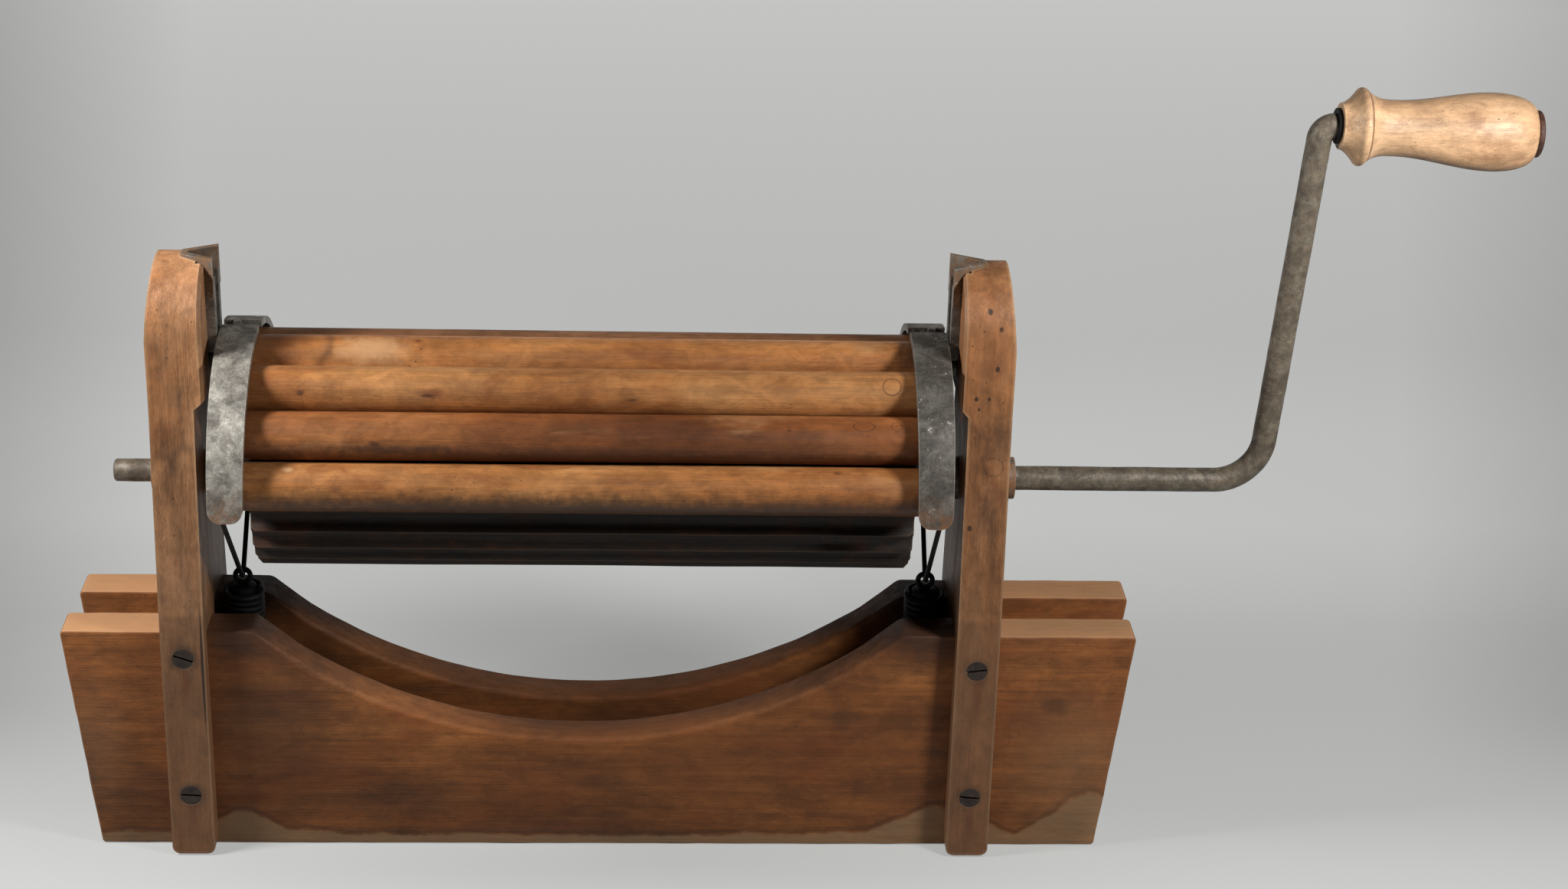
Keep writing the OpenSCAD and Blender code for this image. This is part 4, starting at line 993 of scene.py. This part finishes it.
# Springs, their eyes and the pull wires
WIRE = 3.5 * MM
SPRING_R = 11.55 * MM
SPRING_X = 220.65 * MM
TURNS = 24
TURN_STEPS = 24
PITCH = 4 * MM
COIL_START = 71.75 * MM
ANCHOR_Z = 44 * MM
HOOK_R = 6.15 * MM
EYE_Z = 176.1 * MM
EYE_RING = 4.7 * MM
EYE_WIRE = 3.4 * MM
PLUG_R = 8.4 * MM
PLUG_TOP = 170.5 * MM
PLUG_H = 12 * MM
PULL_WIRE = 3.2 * MM
PULL_BEND = 2 * MM
WIRE_Z = 177.4 * MM
LUG_Y = 90.3 * MM
LUG_Z = 261.44 * MM
WIRE_X = {-1: 218.4 * MM, 1: 220.4 * MM}


def bezier(a, b, c, d, t):
    return (1 - t) ** 3 * a + 3 * (1 - t) ** 2 * t * b + 3 * (1 - t) * t * t * c + t ** 3 * d


def spring_line(at, side):
    """The spring's centre line, from the hook under its pin to the end of its last turn."""
    first = Vector((-SPRING_R, 0, COIL_START))
    tangent = Vector((0, -1, PITCH / (2 * pi * SPRING_R)))
    hook_last = Vector((-HOOK_R, 0, ANCHOR_Z))
    path = arc((0, ANCHOR_Z), HOOK_R, 20, -180, 18)
    low, high = hook_last + Vector((0, 0, 12 * MM)), first - 9 * MM * tangent
    path += [bezier(hook_last, low, high, first, i / 16) for i in range(1, 16)]
    for i in range(TURNS * TURN_STEPS + 1):
        a = radians(180 + 360 * i / TURN_STEPS)
        path.append(Vector((SPRING_R * cos(a), SPRING_R * sin(a), COIL_START + PITCH * i / TURN_STEPS)))
    path.append(path[-1] + WIRE * tangent)
    return [Vector((at + side * p.x, p.y, p.z)) for p in path]


def spring(name, side, paint):
    """A spring in two halves, which stretch between the frame, the crown and the eyes."""
    at = cage_x + side * SPRING_X
    path = spring_line(at, side)
    split = len(path) - 2 - TURNS // 2 * TURN_STEPS
    halves = {"lower": (path[:split + 1], "frame", "crown"), "upper": (path[split:], "crown", "spring_eyes")}
    for half, (line, below, above) in halves.items():
        shell = capped(sweep(line, [WIRE / 2] * len(line), 12))
        piece = make(f"{name}_spring_{half}", shell, name + "_spring", paint, "dark_iron", rides=False)
        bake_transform(piece, below, above, start=(at, 0, line[0].z), end=(at, 0, line[-1].z))


def spring_eye(name, side, paint):
    """A ring on edge over the round plug that closes the spring."""
    at = Vector((cage_x + side * SPRING_X, 0, 0))
    eye = at + Vector((0, 0, EYE_Z))
    rings = []
    for a in circle(40):
        out = Vector((cos(a), 0, sin(a)))
        rings.append([eye + out * EYE_RING + (out * cos(b) + Vector((0, 1, 0)) * sin(b)) * EYE_WIRE / 2
                      for b in circle(16)])
    points, faces = skin(rings, close=True)
    profile = [(PLUG_TOP - PLUG_H, 0), (PLUG_TOP - PLUG_H, PLUG_R), (PLUG_TOP - 1.5 * MM, PLUG_R),
               (PLUG_TOP - 0.4 * MM, PLUG_R - 1.1 * MM), (PLUG_TOP, PLUG_R - 3 * MM), (PLUG_TOP, 0)]
    more, more_faces = lathe(profile, at, Vector((0, 0, 1)), sides=40)
    faces += [tuple(i + len(points) for i in f) for f in more_faces]
    make(name + "_spring_eye_forged", (points + more, faces), name + "_spring_eye", paint, "dark_iron")


def pull_wire(name, side, jaw, paint):
    """From the strap's lug, round a bend, down to the eye and into it. jaw is -1 in front, 1 behind."""
    node = f"{name}_{'front' if jaw < 0 else 'back'}_wire"
    low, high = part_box(node)
    inner_x = low.x if side > 0 else high.x
    lug_x, eye_x = cage_x + side * WIRE_X[jaw], cage_x + side * SPRING_X
    corners = [Vector((inner_x, jaw * LUG_Y, LUG_Z)), Vector((lug_x, jaw * LUG_Y, LUG_Z)),
               Vector((eye_x, jaw * 3 * MM, WIRE_Z)), Vector((eye_x, jaw * 0.4 * MM, WIRE_Z))]
    path = [corners[0]]
    for last, corner, following in zip(corners, corners[1:], corners[2:]):
        before = (last - corner).normalized() * PULL_BEND
        after = (following - corner).normalized() * PULL_BEND
        path += [bezier(corner + before, corner + before / 3, corner + after / 3, corner + after, t)
                 for t in spread(0, 1, 8)]
    path.append(corners[3])
    make(node + "_bent", capped(sweep(path, [PULL_WIRE / 2] * len(path), 14)), node, paint, "dark_iron")


# Screws, each turned about its own axis so that its slot lies as the photograph shows
SLOT_TURNS = {("left", "high"): -8, ("left", "low"): 9, ("right", "high"): 20, ("right", "low"): 6}


def islands(body):
    """The separate pieces of a mesh, each as a set of its points."""
    todo = set(body.verts)
    while todo:
        island, reached = set(), [next(iter(todo))]
        while reached:
            v = reached.pop()
            if v not in island:
                island.add(v)
                reached += [e.other_vert(v) for e in v.link_edges]
        todo -= island
        yield island


def screws(paint):
    body = opened("upright_screws")
    for island in islands(body):
        x = (min(v.co.x for v in island) + max(v.co.x for v in island)) / 2
        z = (min(v.co.z for v in island) + max(v.co.z for v in island)) / 2
        front = min(v.co.y for v in island) < 0
        key = ("left" if x < frame_x else "right", "high" if z > board_top / 2 else "low")
        turn = Matrix.Rotation(-radians(SLOT_TURNS[key] * (1 if front else -1)), 3, "Y")
        centre = Vector((x, 0, z))
        for v in island:
            v.co = centre + turn @ (v.co - centre)
    bevel(body, sharp_edges(body, 30), 0.35 * MM, 2)
    closed(body, "upright_screws", paint, "screw_iron", crease=40)


# The stage: a pale floor that rises into a backdrop far behind, with its greys from near to far
FLOOR_NEAR, FLOOR_FAR = -0.15, 2.1
FLOOR_GLOW = 0.6
FLOOR_TONES = [(0, 213), (0.035, 206), (0.07, 198), (0.13, 198), (0.19, 201), (0.27, 218), (0.35, 221),
               (0.45, 218), (0.65, 227), (1, 241)]
BOUNCE_GREY = rgb(118, 118, 117)


def floor_paint():
    """Dimmer to both sides, darker round the wringer as a painted shadow, and BOUNCE_GREY to rays that light
    other things.
    """
    paint = Paint("pale_floor")
    x, y, _ = paint.axes()
    depth = paint.span(y, FLOOR_NEAR, FLOOR_FAR, kind="LINEAR")
    paint.colour = paint.ramp(depth, [(at, (tone, tone + 1, tone - 1)) for at, tone in FLOOR_TONES])
    wide = paint.math("ADD", paint.times(depth, 0.55), 0.5)
    side = paint.math("DIVIDE", paint.apart(x, paint.times(depth, 0.12)), wide)
    wings = paint.times(paint.span(side, 0.78, 1.02, kind="LINEAR"), paint.span(depth, 0.06, 0.14, 0, 0.28))
    wings = paint.times(wings, paint.span(x, -0.2, 0.2, 1, 0.7))
    paint.dim(paint.less(1, wings))
    # A painted shadow on the floor behind the wringer and along its front.
    shadow_behind = paint.spot((cage_x - 30 * MM, 240 * MM, 0), (260 * MM, 150 * MM, None), 1)
    before = paint.spot((cage_x + 60 * MM, -70 * MM, 0), (420 * MM, 70 * MM, None), 1)
    shade = paint.math("MAXIMUM", paint.times(shadow_behind, 0.22), paint.times(before, 0.14))
    paint.dim(paint.less(1, shade))
    rays = paint.add("LightPath").outputs
    seen = paint.math("MAXIMUM", rays["Is Camera Ray"], rays["Is Glossy Ray"])
    seen = paint.math("MAXIMUM", seen, rays["Is Transmission Ray"])
    glow = paint.add("Emission", {"Color": paint.colour}).outputs[0]
    paint.colour = paint.mix(seen, BOUNCE_GREY, paint.colour)
    paint.finish(0.9, specular=0.1)
    both = paint.add("MixShader", {0: paint.times(seen, FLOOR_GLOW), 1: paint.shader.outputs[0], 2: glow})
    paint.feed(paint.end.inputs["Surface"], both.outputs[0])
    return paint.material


def stage():
    half, front, back, rise, top = 6, -5, 4, 1.5, 4.5
    line = [(front, 0), (back, 0)]
    line += [(back + rise * sin(a), rise * (1 - cos(a))) for a in spread(0, pi / 2, 16)[1:]]
    line.append((back + rise, top))
    mesh = bpy.data.meshes.new("floor")
    mesh.from_pydata([(x, y, z) for y, z in line for x in (-half, half)], [],
                     [(2 * i, 2 * i + 1, 2 * i + 3, 2 * i + 2) for i in range(len(line) - 1)])
    mesh.materials.append(floor_paint())
    mesh.shade_smooth()
    put("floor", mesh)


LAMP_SIZE = 0.16


def lamp(name, at, target, power):
    data = bpy.data.lights.new(name, "AREA")
    data.shape = "RECTANGLE"
    data.size = data.size_y = LAMP_SIZE
    data.energy = power
    light = put(name, data)
    light.location = at
    light.rotation_mode = "QUATERNION"
    light.rotation_quaternion = (Vector(target) - Vector(at)).to_track_quat("-Z", "Y")
    light.visible_camera = False


def lights():
    """Two small soft boxes close to the rods' ends, as the shadows of the straps show, and a dim room."""
    lamp("left_box", (cage_x - 0.68, -0.206, 0.71), (cage_x - 0.1, -0.03, 0.22), 7)
    lamp("right_box", (cage_x + 0.70, -0.435, 0.70), (cage_x + 0.1, -0.03, 0.22), 5.5)
    world = bpy.data.worlds.new("room")
    scene.world = world
    world.use_nodes = True
    room = world.node_tree.nodes["Background"].inputs
    room["Color"].default_value = (0.5, 0.5, 0.5, 1)
    room["Strength"].default_value = 0.09


# The photograph's camera, fitted to about forty points of the photograph
CAMERA_AT = Vector((-90.276, -1641.1, 1002.9)) * MM
CAMERA_DOWN, CAMERA_RIGHT, CAMERA_ROLL = 23.977, 3.127, 1.821
PHOTO_WIDTH, FOCAL_PIXELS = 2048, 3690


def camera():
    down, right, roll = (radians(a) for a in (CAMERA_DOWN, CAMERA_RIGHT, CAMERA_ROLL))
    ahead = Vector((sin(right) * cos(down), cos(right) * cos(down), -sin(down)))
    level = Vector((cos(right), -sin(right), 0))
    above = level.cross(ahead)
    x = cos(roll) * level + sin(roll) * above
    y = cos(roll) * above - sin(roll) * level
    data = bpy.data.cameras.new("camera")
    data.sensor_width = 36
    data.lens = FOCAL_PIXELS / PHOTO_WIDTH * data.sensor_width
    data.clip_start, data.clip_end = 0.05, 50
    view = put("camera", data)
    view.matrix_world = Matrix((
        (x.x, y.x, -ahead.x, CAMERA_AT.x),
        (x.y, y.y, -ahead.y, CAMERA_AT.y),
        (x.z, y.z, -ahead.z, CAMERA_AT.z),
        (0, 0, 0, 1)))
    scene.camera = view


camera()
stage()
lights()

STRAP_IRON = strap_paint("strap_iron", 2)
# The left straps' copy is brightened as a painted highlight of the left lamp, and the right straps' copy is
# darkened as painted shade.
SIDE_IRON = {"left": strap_paint("left_strap_iron", 2, 1.25),
             "right": strap_paint("right_strap_iron", 5, 0.84)}
GUIDE_IRON = strap_paint("guide_iron", 9, cup=True)
CRANK_IRON = crank_paint()
DARK_IRON = black_shaded_paint()
RUSTY_IRON = rusty_paint()
SCREW_IRON = screw_paint()
ORANGE = [(132, 78, 40), (178, 116, 64), (208, 152, 96)]
REDDISH = [(104, 58, 30), (146, 88, 48), (184, 122, 72)]
BROWN = [(110, 70, 44), (134, 90, 58), (154, 108, 72)]

board("front_board", 0, 1)
board("back_board", 2.5 * MM, 2)
for name, side in SIDES.items():
    upright(name, side)
    softened(name + "_guide", GUIDE_IRON, "strap_iron", 0.6 * MM)
    softened(name + "_bush", STRAP_IRON, "strap_iron", 0.6 * MM)
    for jaw in ("front", "back"):
        softened(f"{name}_{jaw}_strap", SIDE_IRON[name], "strap_iron", 0.9 * MM)
    spring(name, side, DARK_IRON)
    spring_eye(name, side, DARK_IRON)
    for jaw in (-1, 1):
        pull_wire(name, side, jaw, DARK_IRON)

rod("crown_rod", rod_wood("crown_rod", 11, ORANGE), 11, through=True)
for k in (1, 2, 3):
    rod(f"front_rod_{k}", rod_wood(f"front_rod_{k}", 11 + k, REDDISH if k == 2 else ORANGE), 11 + k)
    rod(f"back_rod_{k}", rod_wood(f"back_rod_{k}", 15 + k, BROWN, 0.5, 0.5), 15 + k)
    dress(f"front_gudgeons_{k}", STRAP_IRON)
    dress(f"back_gudgeons_{k}", STRAP_IRON)
roller()
spindle_at, spindle_way = crank(CRANK_IRON)
grip(spindle_at, spindle_way, grip_paint())
softened("grip_washer", DARK_IRON, "dark_iron", 0.4 * MM)
softened("grip_end_cap", RUSTY_IRON, "rusty_iron", 1 * MM)
screws(SCREW_IRON)
for node in ("guide_screws", "bush_nails", "collar_pins", "roller_drive_pins", "spring_anchor_pins"):
    dress(node, SCREW_IRON)
dress("axle_collars", CRANK_IRON)
dress("crown_pin", STRAP_IRON)

scene.view_settings.view_transform = "Standard"
bpy.context.view_layer.update()
